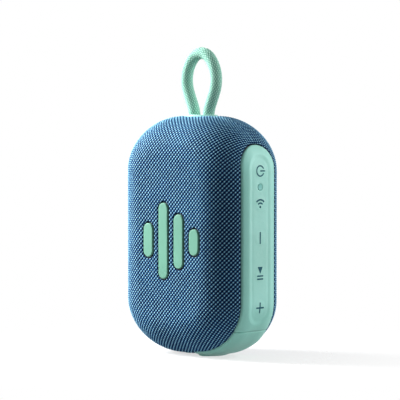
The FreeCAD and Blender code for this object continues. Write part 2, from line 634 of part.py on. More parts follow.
keep(roll("front_roll", "roll_radius", "roll_height * 0.95", "driver_face - 0.01",
          "cone_radius - 1.2", "aperture + 1.6", -1), "driver_surround")
keep(cut("gasket_cut", ring("gasket_ring", "Y", (0, "driver_face - 0.6", axis), "flange_radius",
                            "aperture + 1.7", 0.58), *flange_holes), "driver_gasket")
keep(group("terminal_group", [
    fuse(f"terminal{side}",
         block(f"terminal_tab{side}", (f"{side} * 3 - 1", f"{side} * 3 + 1"), (-10.6, -10),
               ("driver_height + 18.4", "driver_height + 22.4")),
         rod(f"terminal_rivet{side}", "Y", (f"{side} * 3", -10.9, "driver_height + 19.6"),
             0.6, 1)) for side in (-1, 1)]), "speaker_terminals")

# ---- the passive radiator -----------------------------------------------------------

frame_holes = [rod(f"frame_hole{i}", "Y", (x, "radiator_face - 4", z), "small_screw + 0.15", 6)
               for i, (x, z) in enumerate(around(RADIATOR_PITCH))]
keep(cut("frame_cut", ring("radiator_ring", "Y", (0, rear_seat, axis), "radiator_radius",
                           "aperture", "frame_thick"), *frame_holes), "radiator_frame")
keep(roll("rear_roll", "radiator_roll", "roll_height", "radiator_face + 0.01",
          "plate_radius - 1.4", "aperture + 0.6", 1), "radiator_surround")
keep(rod("radiator_disc", "Y", (0, "radiator_face - plate_thick", axis),
         "plate_radius", "plate_thick"), "radiator_plate")
keep(cone("radiator_mass", "Y", (0, "radiator_face - plate_thick - weight_thick", axis),
          ("weight_radius - 0.5", "weight_radius"), "weight_thick"), "radiator_weight")

# ---- the cell and its cradle --------------------------------------------------------

keep(rod("cell_can", "X", ("-cell_length / 2", 0, "cell_height"), "cell_radius", "cell_length"),
     "battery_cell")
saddle_legs = [common(f"saddle_leg{i}", block(f"saddle_rib{i}", (start, start + 3), (-7, 7), (4, 16)),
                      forms["case_back"]) for i, start in enumerate((-21, 2.5))]
keep(cut("saddle_cut",
         fuse("saddle_solid", block("saddle_tray", (-24, 24), (-9.6, 9.6), (15.2, 21)), *saddle_legs),
         rod("saddle_bed", "X", (-OUTSIDE / 2, 0, "cell_height"), "cell_radius + 0.1", OUTSIDE)),
     "battery_cradle")

# ---- the boards ---------------------------------------------------------------------

board_back = "board_front + board_thick"
board_holes = [rod(f"board_hole{i}", "Y", (x, 0, z), "small_screw + 0.15", 10)
               for i, (x, z) in enumerate(BOARD_POSTS)]
keep(cut("board_cut", block("board_slab", ("-board_half", "board_half"),
                            ("board_front", board_back), ("board_low", "board_high")),
         *board_holes), "main_board")
keep(block("battery_socket_body", (-14, -9), (board_back, f"{board_back} + 2.6"), (84.6, 88)),
     "battery_socket")
CHIPS = [((-13, -6), 0.9, (98, 105)), ((1, 6), 0.9, (90, 95)), ((-12, -8), 0.8, (89, 93)),
         ((-2, 2), 1.8, (98, 102)), ((4, 8), 1.8, (98, 102)), ((13, 18), 1.0, (97, 99))]
chips = [block(f"chip{i}", x, (board_back, f"{board_back} + {rise}"), z)
         for i, (x, rise, z) in enumerate(CHIPS)]
cans = [rod(f"capacitor{x}", "Y", (x, board_back, 92), 1.7, 2.2) for x in (-4.5, 10)]
keep(group("component_group", chips + cans), "board_components")

key_board_holes = [rod(f"key_board_hole{i}", "X", (30, 0, z), "small_screw + 0.15", 10)
                   for i, z in enumerate(KEY_BOARD_POSTS)]
keep(cut("key_board_cut", block("key_board_slab", ("key_board_face - board_thick", "key_board_face"),
                                ("-key_board_half", "key_board_half"),
                                ("key_board_low", "key_board_high")), *key_board_holes),
     "key_board")
switch_bodies = []
for key, height in KEYS.items():
    body = block(f"{key}_switch", ("key_board_face", "key_board_face + switch_rise"),
                 ("-switch_half", "switch_half"),
                 (f"{height} - switch_half", f"{height} + switch_half"))
    bore = rod(f"{key}_switch_bore", "X", ("key_board_face + 0.2", 0, height), "stem_radius + 0.15",
               5)
    switch_bodies.append(cut(f"{key}_switch_cut", body, bore))
    keep(rod(f"{key}_stem_rod", "X", ("key_board_face + 0.6", 0, height), "stem_radius",
             "key_tip - key_board_face - 0.6"), f"{key}_switch_stem")
keep(group("switch_group", switch_bodies), "key_switches")
keep(block("led_chip", ("key_board_face", "key_board_face + 0.6"), (-0.8, 0.8),
           ("light_height - 0.5", "light_height + 0.5")), "status_led")

port_low = "port_height - port_rise"
keep(block("port_board_slab", (6, "port_mouth - 3.4"), (-7, 7),
           (f"{port_low} - board_thick", port_low)), "port_board")
port_shell = block("port_shell_body", ("port_mouth - port_long", "port_mouth"),
                   ("-port_half", "port_half"), (port_low, "port_height + port_rise"))
port_throat = block("port_throat", ("port_mouth - 6", "port_mouth + 1"),
                    ("-port_half + 0.3", "port_half - 0.3"),
                    (f"{port_low} + 0.3", "port_height + port_rise - 0.3"))
port_tongue = block("port_tongue", ("port_mouth - 6.2", "port_mouth - 0.9"), (-3.35, 3.35),
                    ("port_height - 0.35", "port_height + 0.35"))
keep(fuse("port_socket", cut("port_shell_cut", port_shell, port_throat), port_tongue),
     "usb_socket")

# ---- leads inside the case ----------------------------------------------------------

def run_of(points, radius):
    """A round lead: straight runs joined by tangent arcs, as large as the runs allow."""
    spots = [Vector(*p) for p in points]
    edges, start = [], spots[0]
    for i in range(1, len(spots) - 1):
        before, after = spots[i] - spots[i - 1], spots[i + 1] - spots[i]
        half_turn = before.getAngle(after) / 2
        setback = 0.45 * min(before.Length, after.Length)
        arc_radius = setback / math.tan(half_turn)
        u, v = Vector(before).normalize(), Vector(after).normalize()
        enter, leave = spots[i] - u * setback, spots[i] + v * setback
        inward = Vector(v - u).normalize()
        middle = spots[i] + inward * (arc_radius / math.cos(half_turn) - arc_radius)
        if (enter - start).Length > 1e-6:
            edges.append(Part.LineSegment(start, enter).toShape())
        edges.append(Part.Arc(enter, middle, leave).toShape())
        radii.append(round(arc_radius / (2 * radius), 2))
        start = leave
    edges.append(Part.LineSegment(start, spots[-1]).toShape())
    path = Part.Wire(edges)
    first = Vector(spots[1] - spots[0]).normalize()
    section = Part.Wire([Part.Circle(spots[0], first, radius).toShape()])
    solid = path.makePipeShell([section], True, False)
    return solid, path.Length


def made(label, shape):
    """A sub-part whose shape comes straight from solids."""
    thing = doc.addObject("Part::Feature", label + "_solid")
    thing.Shape = shape
    return keep(thing, label)


radii = []
LEAD_RADIUS = 0.5
battery_route = [(-33.1, 0, 27), (-34.6, 0.5, 33), (-34.4, 1.5, 44), (-33.6, 4, 56),
                 (-31, 7.5, 68), (-25.6, 9.3, 77), (-17.5, 9.6, 82.4), (-11.6, 7.9, 83.6)]
speaker_routes = [[(side * 3, -9.4, 91.9), (side * 3.2, -6.5, 96.5), (side * 3.1, -2.4, 99.3),
                   (side * 2.7, 1.6, 98.2), (side * 2.6, 4.5, 95.8)] for side in (-1, 1)]
made("battery_lead", run_of(battery_route, LEAD_RADIUS)[0])
made("speaker_leads", Part.makeCompound([run_of(route, LEAD_RADIUS)[0]
                                         for route in speaker_routes]))


def ribbon(outline, low, high):
    """A flat flex cable, bent about upright lines: its outline is across and deep."""
    corners = [Vector(x, y, low) for x, y in outline]
    face = Part.Face(Part.makePolygon(corners + corners[:1]))
    return face.extrude(Vector(0, 0, high - low))


made("key_flex", ribbon([(33.5, 2), (33.5, 2.25), (26.1, 6.1), (18.6, 6.1), (18.6, 5.85),
                         (26, 5.85)], 89.5, 95.5))
flex_outline = [Vector(11, y, z) for y, z in [
    (7.1, 9.45), (7.1, 9.2), (10.1, 12.9), (10.1, 82.6), (6.1, 87), (5.85, 86.8), (9.85, 82.4),
    (9.85, 13.1)]]
made("port_flex", Part.Face(Part.makePolygon(flex_outline + flex_outline[:1]))
     .extrude(Vector(4, 0, 0)))

# ---- the carrying loop --------------------------------------------------------------

trim_edge = oval("trim_block", "trim_across", "trim_deep", "trim_foot", "trim_top")
doc.recompute()
trim_round = doc.addObject("Part::Fillet", "trim_round")
trim_round.Base = trim_edge
top_edges = [i for i, edge in enumerate(trim_edge.Shape.Edges, start=1)
             if all(abs(v.Z - value("trim_top")) < 1e-6 for v in edge.Vertexes)]
trim_round.Edges = [(i, 0.6, 0.6) for i in top_edges]
keep(cut("trim_cut", trim_round, *[
    rod(f"trim_bore{side}", "Z", (f"{side} * leg_spread", 0, "trim_foot - 1"),
        "cord_radius + cord_way", 6) for side in (-1, 1)]), "strap_trim")
anchor_bores = [rod(f"anchor_bore{side}", "Z", (f"{side} * leg_spread", 0, "anchor_low - 1"),
                    "cord_radius + 0.1", 10) for side in (-1, 1)]
pin_bore = rod("pin_bore", "X", ("-anchor_half - 1", 0, "pin_height"), "pin_radius + 0.05",
               "2 * anchor_half + 2")
keep(cut("anchor_cut", block("anchor_block", ("-anchor_half", "anchor_half"),
                             ("-anchor_deep", "anchor_deep"), ("anchor_low", "anchor_high")),
         *anchor_bores, pin_bore), "strap_anchor")
keep(rod("anchor_pin", "X", ("-anchor_half", 0, "pin_height"), "pin_radius", "2 * anchor_half"),
     "strap_pin")
keep(group("strap_end_group", [
    rod(f"strap_end{side}", "Z", (f"{side} * leg_spread", 0, "anchor_low + 0.2"), "cord_radius",
        "trim_top - anchor_low - 0.2") for side in (-1, 1)]), "strap_ends")

loop_points = [(x, 0, z) for x, z in LOOP_ROUTE]
loop_points += [(-x, 0, z) for x, z in reversed(LOOP_ROUTE[:-1])]
lead_radii, radii = radii, []
loop_radius = value("cord_radius")
loop_solid, loop_length = run_of(loop_points, loop_radius)
print("loop radii in diameters", radii, "length", round(loop_length, 2), "volume ratio",
      round(loop_solid.Volume / (math.pi * loop_radius ** 2 * loop_length), 4))
print("lead radii in diameters", lead_radii)
knuckles = [Part.makeSphere(loop_radius, Vector(side * LOOP_ROUTE[0][0], 0, LOOP_ROUTE[0][1]))
            for side in (-1, 1)]
made("strap_loop", loop_solid.fuse(knuckles))

# ---- checks and files ---------------------------------------------------------------

doc.recompute()
faulty = [thing.Name for thing in doc.Objects if {"Invalid", "Error"} & set(thing.State)]
if faulty:
    raise RuntimeError(f"objects that failed to compute: {faulty}")
os.makedirs("parts", exist_ok=True)
for thing in parts:
    shape = thing.Shape
    if shape.isNull() or not shape.isValid() or not shape.Solids:
        raise RuntimeError(f"{thing.Label} has no valid solid")
    shape.exportStep(f"parts/{thing.Label}.step")
print(len(parts), "sub-parts written")
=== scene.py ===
import math

import bpy
import numpy as np
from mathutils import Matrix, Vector


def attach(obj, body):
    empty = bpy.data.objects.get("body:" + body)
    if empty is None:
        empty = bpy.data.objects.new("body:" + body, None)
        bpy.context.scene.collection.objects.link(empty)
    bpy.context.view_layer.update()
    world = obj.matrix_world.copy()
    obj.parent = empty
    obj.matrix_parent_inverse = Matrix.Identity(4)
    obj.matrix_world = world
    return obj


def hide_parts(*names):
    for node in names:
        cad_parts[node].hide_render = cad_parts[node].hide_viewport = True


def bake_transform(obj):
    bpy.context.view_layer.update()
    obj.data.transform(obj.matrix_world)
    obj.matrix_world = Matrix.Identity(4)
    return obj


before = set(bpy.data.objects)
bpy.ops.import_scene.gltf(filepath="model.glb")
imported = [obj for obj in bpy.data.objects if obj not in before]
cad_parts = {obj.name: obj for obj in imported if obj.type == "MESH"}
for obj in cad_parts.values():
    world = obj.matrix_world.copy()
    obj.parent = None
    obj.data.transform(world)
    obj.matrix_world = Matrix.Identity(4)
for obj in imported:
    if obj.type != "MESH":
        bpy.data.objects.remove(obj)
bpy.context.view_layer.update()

MM = 0.001

# ---- the body's form, as the CAD has it (millimetres, row frame) ---------------------
HALF_WIDE, HALF_DEEP, HALF_TALL = 41.25, 23.75, 59.95
MIDDLE = 60.55                       # height of the body's middle
ACROSS, UP, EDGE = 33.0, 27.5, 20.0  # the corners' ellipse, and the edges' rounding
CORNER_X, CORNER_Z = HALF_WIDE - ACROSS, HALF_TALL - UP
SIDE_FLAT = HALF_DEEP - EDGE
ROUND_LONG = EDGE * math.pi / 2      # over the rounding, from face to side
SKIN_REACH = ROUND_LONG + SIDE_FLAT  # from the flat face's edge to the middle of the side

# ---- the knit's repeat: whole numbers of it from the middle to the side ---------------
KNIT_X = (HALF_WIDE - EDGE + SKIN_REACH) / 26
KNIT_Z = (HALF_TALL - EDGE + SKIN_REACH) / 35
KNIT_DEEP, KNIT_PROUD = 0.55, 0.12
KNIT_NET = 4                         # net squares to a yarn
KNIT_SPAN = 62                       # yarns from the middle to the net's end
KNIT_REACH = 57.5, 76.5              # the net's half sizes before it is cut to the outline

# ---- strip, keys and base ---------------------------------------------------------------
STRIP_HALF, STRIP_GAP, STRIP_TOP = 11.5, 0.35, 106.55
SEAM, SEAM_GAP = 13.75, 0.15
ISLAND_HALF, ISLAND_LOW, ISLAND_HIGH, ISLAND_DEEP = 6.6, 17.95, 100.85, 0.4
KEYS = {"power": 93.45, "pairing": 77.45, "volume_down": 60.45, "play": 42.65,
        "volume_up": 25.85}
KEY_RADIUS, LIGHT_HEIGHT, LIGHT_RADIUS = 4.45, 85.45, 1.55
BASE_END = 0.1
PAD = (1.0, 18.0, 8.0)               # the foot's flat: start, end and half width
STUD_ACROSS = -8.0
STUD_PROFILE = [(2.2, 0.0), (2.4, 0.05), (2.55, 0.17), (2.6, 0.35), (2.6, 1.0)]
HINGE_TURN = 55.3                    # where the hinge is on the corner's ellipse, degrees
HINGE_BLEND = 1.2                    # a length along the skin at the port cover's hinge; the cover is not bent
TRIM = (10.0, 6.0, 0.3)              # half sizes, and the gap round it
# the badge's bars: (middle across, length)
BADGE_BARS = [(-14.2, 17.0), (-3.4, 38.0), (7.4, 27.0), (18.2, 13.0)]
BADGE_HEIGHT, BADGE_HALF, BADGE_PROUD, BADGE_GAP = 58.2, 3.2, 0.25, 0.5

# ---- how skins turn down at their edges: (width, depth) -----------------------------
HEM_ROLL, TRIM_ROLL = (0.95, 0.95), (0.55, 0.5)
RIM_ROLL, SEAM_ROLL, DIMPLE_ROLL = (0.75, 0.6), (0.45, 0.35), (0.7, 0.35)
BADGE_ROLL = (0.4, 0.32)

# ---- how thick the mouldings are, and how fine their nets ----------------------------
STRIP_BACK, KEY_BACK, BASE_BACK, BADGE_BACK = 1.9, 1.5, 1.35, 1.2
BAND_NET, BAND_NET_HALF, ICON_NET, ICON_NET_HALF = 0.3, 11.6, 0.16, 4.0
ICON_UNDER, ICON_OVER = 0.03, 0.05   # a printed shape reaches into the key and above it

# ---- the carrying loop --------------------------------------------------------------
CORD_RADIUS = 3.0
# the route from the hidden end of one leg to the top: (across, up)
LEG = [(4.8, 111.0), (4.8, 116.0), (4.8, 120.6)]
LOOP_ROUTE = [(5.6, 124.6), (8.0, 129.6), (10.2, 135.1), (10.5, 140.6), (8.8, 146.0),
              (4.9, 150.9), (0.0, 152.4)]
CORD_YARNS, CORD_PITCH = 14, 1.8
CORD_CORE, CORD_RELIEF = CORD_RADIUS - 0.2, 0.27
CORD_AROUND, CORD_STEP = 112, 0.3


# ======================================================================================
# Shapes as distances, used to cut the skins
# ======================================================================================

def capsule(a, b, low, high, half):
    """Distance outside an upright bar with round ends, middle line from low to high."""
    return np.hypot(a, b - np.clip(b, low, high)) - half


def segment(p, start, end, half):
    """Distance outside a stroke with round ends."""
    a, b = np.array(start, float), np.array(end, float)
    along = np.clip(((p - a) @ (b - a)) / ((b - a) @ (b - a)), 0, 1)
    return np.linalg.norm(p - a - along[:, None] * (b - a), axis=1) - half


def band(xyz, half, top):
    """Distance outside the band that runs down the right side and on under the body."""
    x, y, z = xyz.T
    high = np.hypot(y, np.maximum(z - (top - half), 0)) - half
    low = np.hypot(y, np.minimum(x - (BASE_END + STRIP_HALF), 0)) - half
    side = np.where(z > MIDDLE, high, low)
    return np.where(x > -15, side, 60.0)


def island(xyz):
    """Distance outside the strip's long hollow."""
    x, y, z = xyz.T
    return capsule(y, z, ISLAND_LOW + ISLAND_HALF, ISLAND_HIGH - ISLAND_HALF, ISLAND_HALF)


def ease(x):
    """Runs smoothly from 0 to 1."""
    x = np.clip(x, 0, 1)
    return x * x * (3 - 2 * x)


def from_round(xyz, height):
    """Distance from a point on the strip's middle line, as seen from the side."""
    return np.hypot(xyz[:, 1], xyz[:, 2] - height)


def edge_roll(distance, radius, depth):
    """How far a skin turns down by its edge: a quarter round."""
    near = 1 - np.clip(distance / radius, 0, 1)
    return depth * (1 - np.sqrt(1 - near ** 2))


# ======================================================================================
# Skins: nets of parameter points that are cut to shape and then laid in space
# ======================================================================================

class Skin:
    """Faces over points of two parameters, plus the depth under the outer form."""

    def __init__(self, points, quads, place):
        self.points, self.quads, self.odd, self.place = points, quads, [], place

    @classmethod
    def net(cls, a, b, place):
        """A plain net over two lists of parameter values."""
        grid = np.stack(np.meshgrid(a, b, indexing="ij"), -1).reshape(-1, 2)
        i = np.arange(len(a) - 1)[:, None] * len(b) + np.arange(len(b) - 1)[None]
        i = i.reshape(-1)
        return cls(grid, np.stack([i, i + len(b), i + len(b) + 1, i + 1], 1), place)

    def space(self):
        return self.place(self.points)

    def part(self, distance):
        """The skins on the positive and the negative side of a distance over space."""
        def field(points):
            return distance(self.place(points))

        points = self.points
        used = np.unique(np.concatenate([self.quads.ravel(), *map(np.array, self.odd)])
                         ).astype(int)
        value = np.full(len(points), 1.0)
        value[used] = field(points[used])
        above = value > 0
        inside = above[self.quads]
        whole, none = inside.all(1), ~inside.any(1)
        yes, no, mixed = [], [], self.quads[~whole & ~none].tolist()
        for face in self.odd:
            state = above[face]
            (yes if state.all() else no if not state.any() else mixed).append(face)
        extra, crossed = [], {}

        def crossing(i, j):
            key = (min(i, j), max(i, j))
            if key not in crossed:
                crossed[key] = len(points) + len(extra)
                share = value[i] / (value[i] - value[j])
                extra.append(points[i] + (points[j] - points[i]) * share)
            return crossed[key]

        for face in mixed:
            one, two = [], []
            for i, j in zip(face, face[1:] + face[:1]):
                (one if above[i] else two).append(i)
                if above[i] != above[j]:
                    cross = crossing(i, j)
                    one.append(cross)
                    two.append(cross)
            if len(one) > 2:
                yes.append(one)
            if len(two) > 2:
                no.append(two)
        if extra:
            extra = np.array(extra)
            step = 1e-3
            for _ in range(3):
                here = field(extra)
                slope = np.stack([(field(extra + move) - here) / step
                                  for move in (np.array((step, 0)), np.array((0, step)))], 1)
                size = np.maximum((slope ** 2).sum(1), 1e-4)
                extra = extra - slope * (np.clip(here, -0.2, 0.2) / size)[:, None]
            points = np.concatenate([points, extra])
        sides = []
        for quads, odd in ((self.quads[whole], yes), (self.quads[none], no)):
            side = Skin(points, quads, self.place)
            side.odd = odd
            sides.append(side)
        return sides

    def keep(self, distance):
        return self.part(distance)[0]

    def tidy(self):
        """Drops the points that no face uses."""
        used = np.unique(np.concatenate([self.quads.ravel(), *map(np.array, self.odd)])
                         ).astype(int)
        new = np.zeros(len(self.points), int)
        new[used] = np.arange(len(used))
        self.points, self.quads = self.points[used], new[self.quads]
        self.odd = [new[face].tolist() for face in self.odd]
        return self

    def faces(self):
        return self.quads.tolist() + self.odd

    def rim(self):
        """The edges that only one face uses, in that face's direction."""
        seen = {}
        for face in self.faces():
            for i, j in zip(face, face[1:] + face[:1]):
                seen[(i, j)] = True
        return [(i, j) for i, j in seen if (j, i) not in seen]


def shell(top, bottom, skin):
    """A closed shell from a skin's outer and inner points."""
    n, faces = len(top), skin.faces()
    walls = [[j, i, i + n, j + n] for i, j in skin.rim()]
    under = [[k + n for k in reversed(face)] for face in faces]
    return np.concatenate([top, bottom]), faces + under + walls


def new_piece(name, points, faces, body, material, uv=None, sharp=40, smooth=True):
    """A mesh piece in metres that rides on a body."""
    mesh = bpy.data.meshes.new(name)
    mesh.from_pydata((np.asarray(points) * MM).tolist(), [], faces)
    if uv is not None:
        layer = mesh.uv_layers.new(name="knit")
        corner = np.zeros(len(mesh.loops), int)
        mesh.loops.foreach_get("vertex_index", corner)
        layer.data.foreach_set("uv", uv[corner].astype(np.float32).ravel())
    mesh.shade_smooth()
    if sharp:
        mesh.set_sharp_from_angle(angle=math.radians(sharp))
    mesh.materials.append(material)
    piece = bpy.data.objects.new(name, mesh)
    bpy.context.scene.collection.objects.link(piece)
    if body:
        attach(piece, body)
    return piece


# ======================================================================================
# Materials
# ======================================================================================

class Look:
    """A node material being put together."""

    def __init__(self, name):
        self.material = bpy.data.materials.new(name)
        self.material.use_nodes = True
        self.tree = self.material.node_tree
        self.shader = self.tree.nodes["Principled BSDF"]

    def put(self, socket, value):
        if hasattr(value, "is_output"):
            self.tree.links.new(value, socket)
        else:
            socket.default_value = value

    def node(self, kind, inputs=(), out=0, **settings):
        node = self.tree.nodes.new("ShaderNode" + kind)
        for name, setting in settings.items():
            setattr(node, name, setting)
        for where, value in dict(inputs).items():
            self.put(node.inputs[where], value)
        return node.outputs[out]

    def math(self, operation, a, b=0.0, clamp=False):
        return self.node("Math", {0: a, 1: b}, operation=operation, use_clamp=clamp)

    def step(self, value, low, high, to_low=0.0, to_high=1.0):
        """Runs smoothly from to_low to to_high as the value goes from low to high."""
        return self.node("MapRange", {"Value": value, "From Min": low, "From Max": high,
                                      "To Min": to_low, "To Max": to_high},
                         interpolation_type="SMOOTHSTEP")

    def mix(self, share, one, two, blend="MIX"):
        node = self.tree.nodes.new("ShaderNodeMix")
        node.data_type, node.blend_type = "RGBA", blend
        self.put(node.inputs[0], share)
        self.put(node.inputs[6], one)
        self.put(node.inputs[7], two)
        return node.outputs[2]

    def place(self):
        """Object coordinates in millimetres."""
        here = self.node("TexCoord", out=3)
        return self.node("VectorMath", {0: here, 1: (1000, 1000, 1000)}, operation="MULTIPLY")

    def noise(self, at, scale, detail=3.0, rough=0.55):
        return self.node("TexNoise", {"Vector": at, "Scale": scale, "Detail": detail,
                                      "Roughness": rough})

    def bump(self, height, distance, strength=1.0, under=None):
        inputs = {"Height": height, "Distance": distance * MM, "Strength": strength}
        if under is not None:
            inputs["Normal"] = under
        return self.node("Bump", inputs)

    def set(self, **values):
        for name, value in values.items():
            self.put(self.shader.inputs[name.replace("_", " ")], value)
        return self.material


def rgb(r, g, b):
    """A colour given as it looks on a screen, from 0 to 255."""
    def linear(c):
        c /= 255
        return c / 12.92 if c <= 0.04045 else ((c + 0.055) / 1.055) ** 2.4
    return (linear(r), linear(g), linear(b), 1.0)


def knit_look():
    """Two sets of slanted yarns with open holes between; one set lies on top."""
    look = Look("knit_cloth")
    uv = look.node("UVMap", uv_map="knit")
    u = look.node("SeparateXYZ", {0: uv}, out=0)
    v = look.node("SeparateXYZ", {0: uv}, out=1)
    here = look.place()

    def wave(turn, count=1):
        return look.math("COSINE", look.math("MULTIPLY", turn, 2 * math.pi * count))

    def yarns(turn):
        return look.math("ADD", look.math("MULTIPLY", wave(turn), -0.5), 0.5)

    upper, lower = yarns(v), yarns(u)
    # fibres along each yarn, and slow changes of tone over the cloth
    strands_up, strands_low = wave(v, 4), wave(u, 4)
    fuzz = look.noise(here, 2.2, 4.0, 0.65)
    patch = look.noise(here, 0.045, 3.0, 0.5)
    # painted highlight: where the upper yarns cross the lower ones the colour turns pale,
    # standing in for the light's glint on them
    top = look.math("MULTIPLY", look.step(upper, 0.5, 0.9),
                    look.step(lower, 0.25, 0.9, 0.12, 1.0))
    yarn = look.math("MAXIMUM", look.step(upper, 0.36, 0.82), look.step(lower, 0.5, 0.95))
    painted_edge_shade = look.node("Attribute", out=2, attribute_name="painted_edge_shade")
    # colours: dark for the holes (partly painted shade), two blues for the yarn, light for the
    # painted highlight on the crossings
    dark, blue, light = rgb(0, 14, 44), rgb(0, 60, 112), rgb(152, 208, 226)
    deep_blue = rgb(0, 49, 98)
    tone = look.mix(look.step(patch, 0.35, 0.68), deep_blue, blue)
    # the holes between the yarns are near black: the dark inside seen through them, with painted
    # shade in them
    colour = look.mix(yarn, dark, tone)
    # painted highlight on the crossings, varied a little by the fuzz
    painted_highlight = look.math("MULTIPLY", top, look.step(fuzz, 0.25, 0.7, 0.72, 1.0))
    colour = look.mix(painted_highlight, colour, light)
    # painted shade: the colour darkens to near black along the cloth's cut edges, where the gaps
    # round the strip, the badge and the trim lie in shadow
    colour = look.mix(painted_edge_shade, colour, rgb(3, 16, 32))
    fine = look.math("ADD", look.math("MULTIPLY", strands_up, look.math(
        "MULTIPLY", upper, 0.5)), look.math("MULTIPLY", strands_low, look.math(
            "MULTIPLY", look.math("SUBTRACT", 1.0, upper), 0.35)))
    height = look.math("ADD", fine, look.math("MULTIPLY", fuzz, 1.2))
    rough = look.step(top, 0.0, 1.0, 0.85, 0.5)
    return look.set(Base_Color=colour, Roughness=rough, Specular_IOR_Level=0.05,
                    Sheen_Weight=0.06, Sheen_Roughness=0.35, Sheen_Tint=rgb(60, 140, 205),
                    Normal=look.bump(height, 0.05, 0.7))


def silicone_look(name, base, shade, bump=0.012, shine=0.42):
    look = Look(name)
    here = look.place()
    cloud = look.noise(here, 0.05, 3.0, 0.5)
    grain = look.noise(here, 9.0, 2.0, 0.5)
    smear = look.noise(here, 0.6, 4.0, 0.6)
    colour = look.mix(look.step(cloud, 0.3, 0.7), base, shade)
    rough = look.step(smear, 0.3, 0.7, 0.46, 0.6)
    return look.set(Base_Color=colour, Roughness=rough, Subsurface_Weight=0.12,
                    Subsurface_Radius=(0.0016, 0.0022, 0.0020), Subsurface_Scale=1.0,
                    Specular_IOR_Level=shine, Sheen_Weight=0.12, Sheen_Roughness=0.5,
                    Normal=look.bump(grain, bump, 0.5))


def print_look():
    look = Look("printed_icon")
    here = look.place()
    wear = look.noise(here, 3.0, 4.0, 0.6)
    colour = look.mix(look.step(wear, 0.35, 0.75), rgb(8, 76, 90), rgb(14, 84, 98))
    return look.set(Base_Color=colour, Roughness=look.step(wear, 0.3, 0.7, 0.5, 0.66),
                    Specular_IOR_Level=0.12, Normal=look.bump(look.noise(here, 12.0), 0.008, 0.5))


def cord_look():
    look = Look("braided_cord")
    uv = look.node("UVMap", uv_map="knit")
    u = look.node("SeparateXYZ", {0: uv}, out=0)
    v = look.node("SeparateXYZ", {0: uv}, out=1)
    here = look.place()

    def across(turn):
        return look.math("ABSOLUTE", look.math("SINE", look.math("MULTIPLY", turn, math.pi)))

    one, two = across(u), across(v)
    valley = look.math("MULTIPLY", one, two)
    fibre = look.math("COSINE", look.math("MULTIPLY", look.math("ADD", u, v), math.pi * 7))
    fuzz = look.noise(here, 3.0, 4.0, 0.6)
    tone = look.mix(look.step(look.noise(here, 0.12), 0.35, 0.65), rgb(131, 184, 167),
                    rgb(140, 190, 174))
    # painted shade: the grooves between the yarns are darker
    colour = look.mix(look.step(valley, 0.0, 0.66), rgb(86, 153, 130), tone)
    # painted highlight: a pale colour on the yarns' crowns
    colour = look.mix(look.math("MULTIPLY", look.step(valley, 0.6, 0.95), 0.6), colour,
                      rgb(192, 231, 217))
    height = look.math("ADD", look.math("MULTIPLY", fibre, 0.4), fuzz)
    return look.set(Base_Color=colour, Roughness=look.step(fuzz, 0.3, 0.7, 0.7, 0.88),
                    Sheen_Weight=0.2, Sheen_Roughness=0.4, Sheen_Tint=rgb(240, 236, 236),
                    Normal=look.bump(height, 0.05, 0.6))


def solid_look(name, one, two, rough=(0.4, 0.6), metal=0.0, scale=0.3, grain=6.0, bump=0.02,
               stretch=(1, 1, 1), **more):
    """A moulded, painted or metal surface: two tones, worn roughness and a fine grain."""
    look = Look(name)
    here = look.node("VectorMath", {0: look.place(), 1: stretch}, operation="MULTIPLY")
    cloud = look.noise(here, scale, 4.0, 0.55)
    fine = look.noise(here, grain, 3.0, 0.6)
    tone = look.math("ADD", look.math("MULTIPLY", cloud, 0.75), look.math("MULTIPLY", fine, 0.25))
    return look.set(Base_Color=look.mix(look.step(tone, 0.36, 0.64), one, two),
                    Roughness=look.step(tone, 0.3, 0.7, rough[0], rough[1]), Metallic=metal,
                    Normal=look.bump(fine, bump, 0.6), **more)


def lined_look(name, one, two, pitch, axis, rough=0.5, metal=0.0, bump=0.05, **more):
    """Fine parallel lines: windings, printed tracks, ribs."""
    look = Look(name)
    here = look.place()
    along = look.node("SeparateXYZ", {0: here}, out=axis)
    fuzz = look.noise(here, 1.5, 3.0, 0.6)
    turn = look.math("ADD", look.math("MULTIPLY", along, 2 * math.pi / pitch),
                     look.math("MULTIPLY", fuzz, 0.8))
    wave = look.math("COSINE", turn)
    return look.set(Base_Color=look.mix(look.step(wave, -0.6, 0.6), one, two),
                    Roughness=look.step(fuzz, 0.3, 0.7, rough - 0.08, rough + 0.08),
                    Metallic=metal, Normal=look.bump(wave, bump, 0.6), **more)


def woven_look(name, one, two, pitch):
    """A plain impregnated weave in the plane of the front."""
    look = Look(name)
    here = look.place()
    x = look.node("SeparateXYZ", {0: here}, out=0)
    z = look.node("SeparateXYZ", {0: here}, out=2)
    wave_x = look.math("COSINE", look.math("MULTIPLY", x, 2 * math.pi / pitch))
    wave_z = look.math("COSINE", look.math("MULTIPLY", z, 2 * math.pi / pitch))
    cross = look.math("MULTIPLY", wave_x, wave_z)
    fuzz = look.noise(here, 2.0)
    return look.set(Base_Color=look.mix(look.step(cross, -0.7, 0.7), one, two),
                    Roughness=look.step(fuzz, 0.3, 0.7, 0.7, 0.85),
                    Normal=look.bump(look.math("ADD", cross, fuzz), 0.06, 0.7))


def board_look():
    """Solder mask with copper tracks under it."""
    look = Look("board_mask")
    here = look.place()
    cell = look.node("TexVoronoi", {"Vector": here, "Scale": 0.32, "Randomness": 0.15},
                     distance="CHEBYCHEV", feature="F1")
    edge = look.node("TexVoronoi", {"Vector": here, "Scale": 0.32, "Randomness": 0.15},
                     feature="DISTANCE_TO_EDGE")
    track = look.step(edge, 0.03, 0.06, 1.0, 0.0)
    fine = look.noise(here, 1.2)
    colour = look.mix(track, look.mix(look.step(cell, 0.1, 0.6), rgb(10, 66, 46),
                                      rgb(14, 80, 54)), rgb(40, 122, 84))
    return look.set(Base_Color=colour, Roughness=look.step(fine, 0.3, 0.7, 0.28, 0.4),
                    Normal=look.bump(track, 0.04, 0.6), Coat_Weight=0.3)


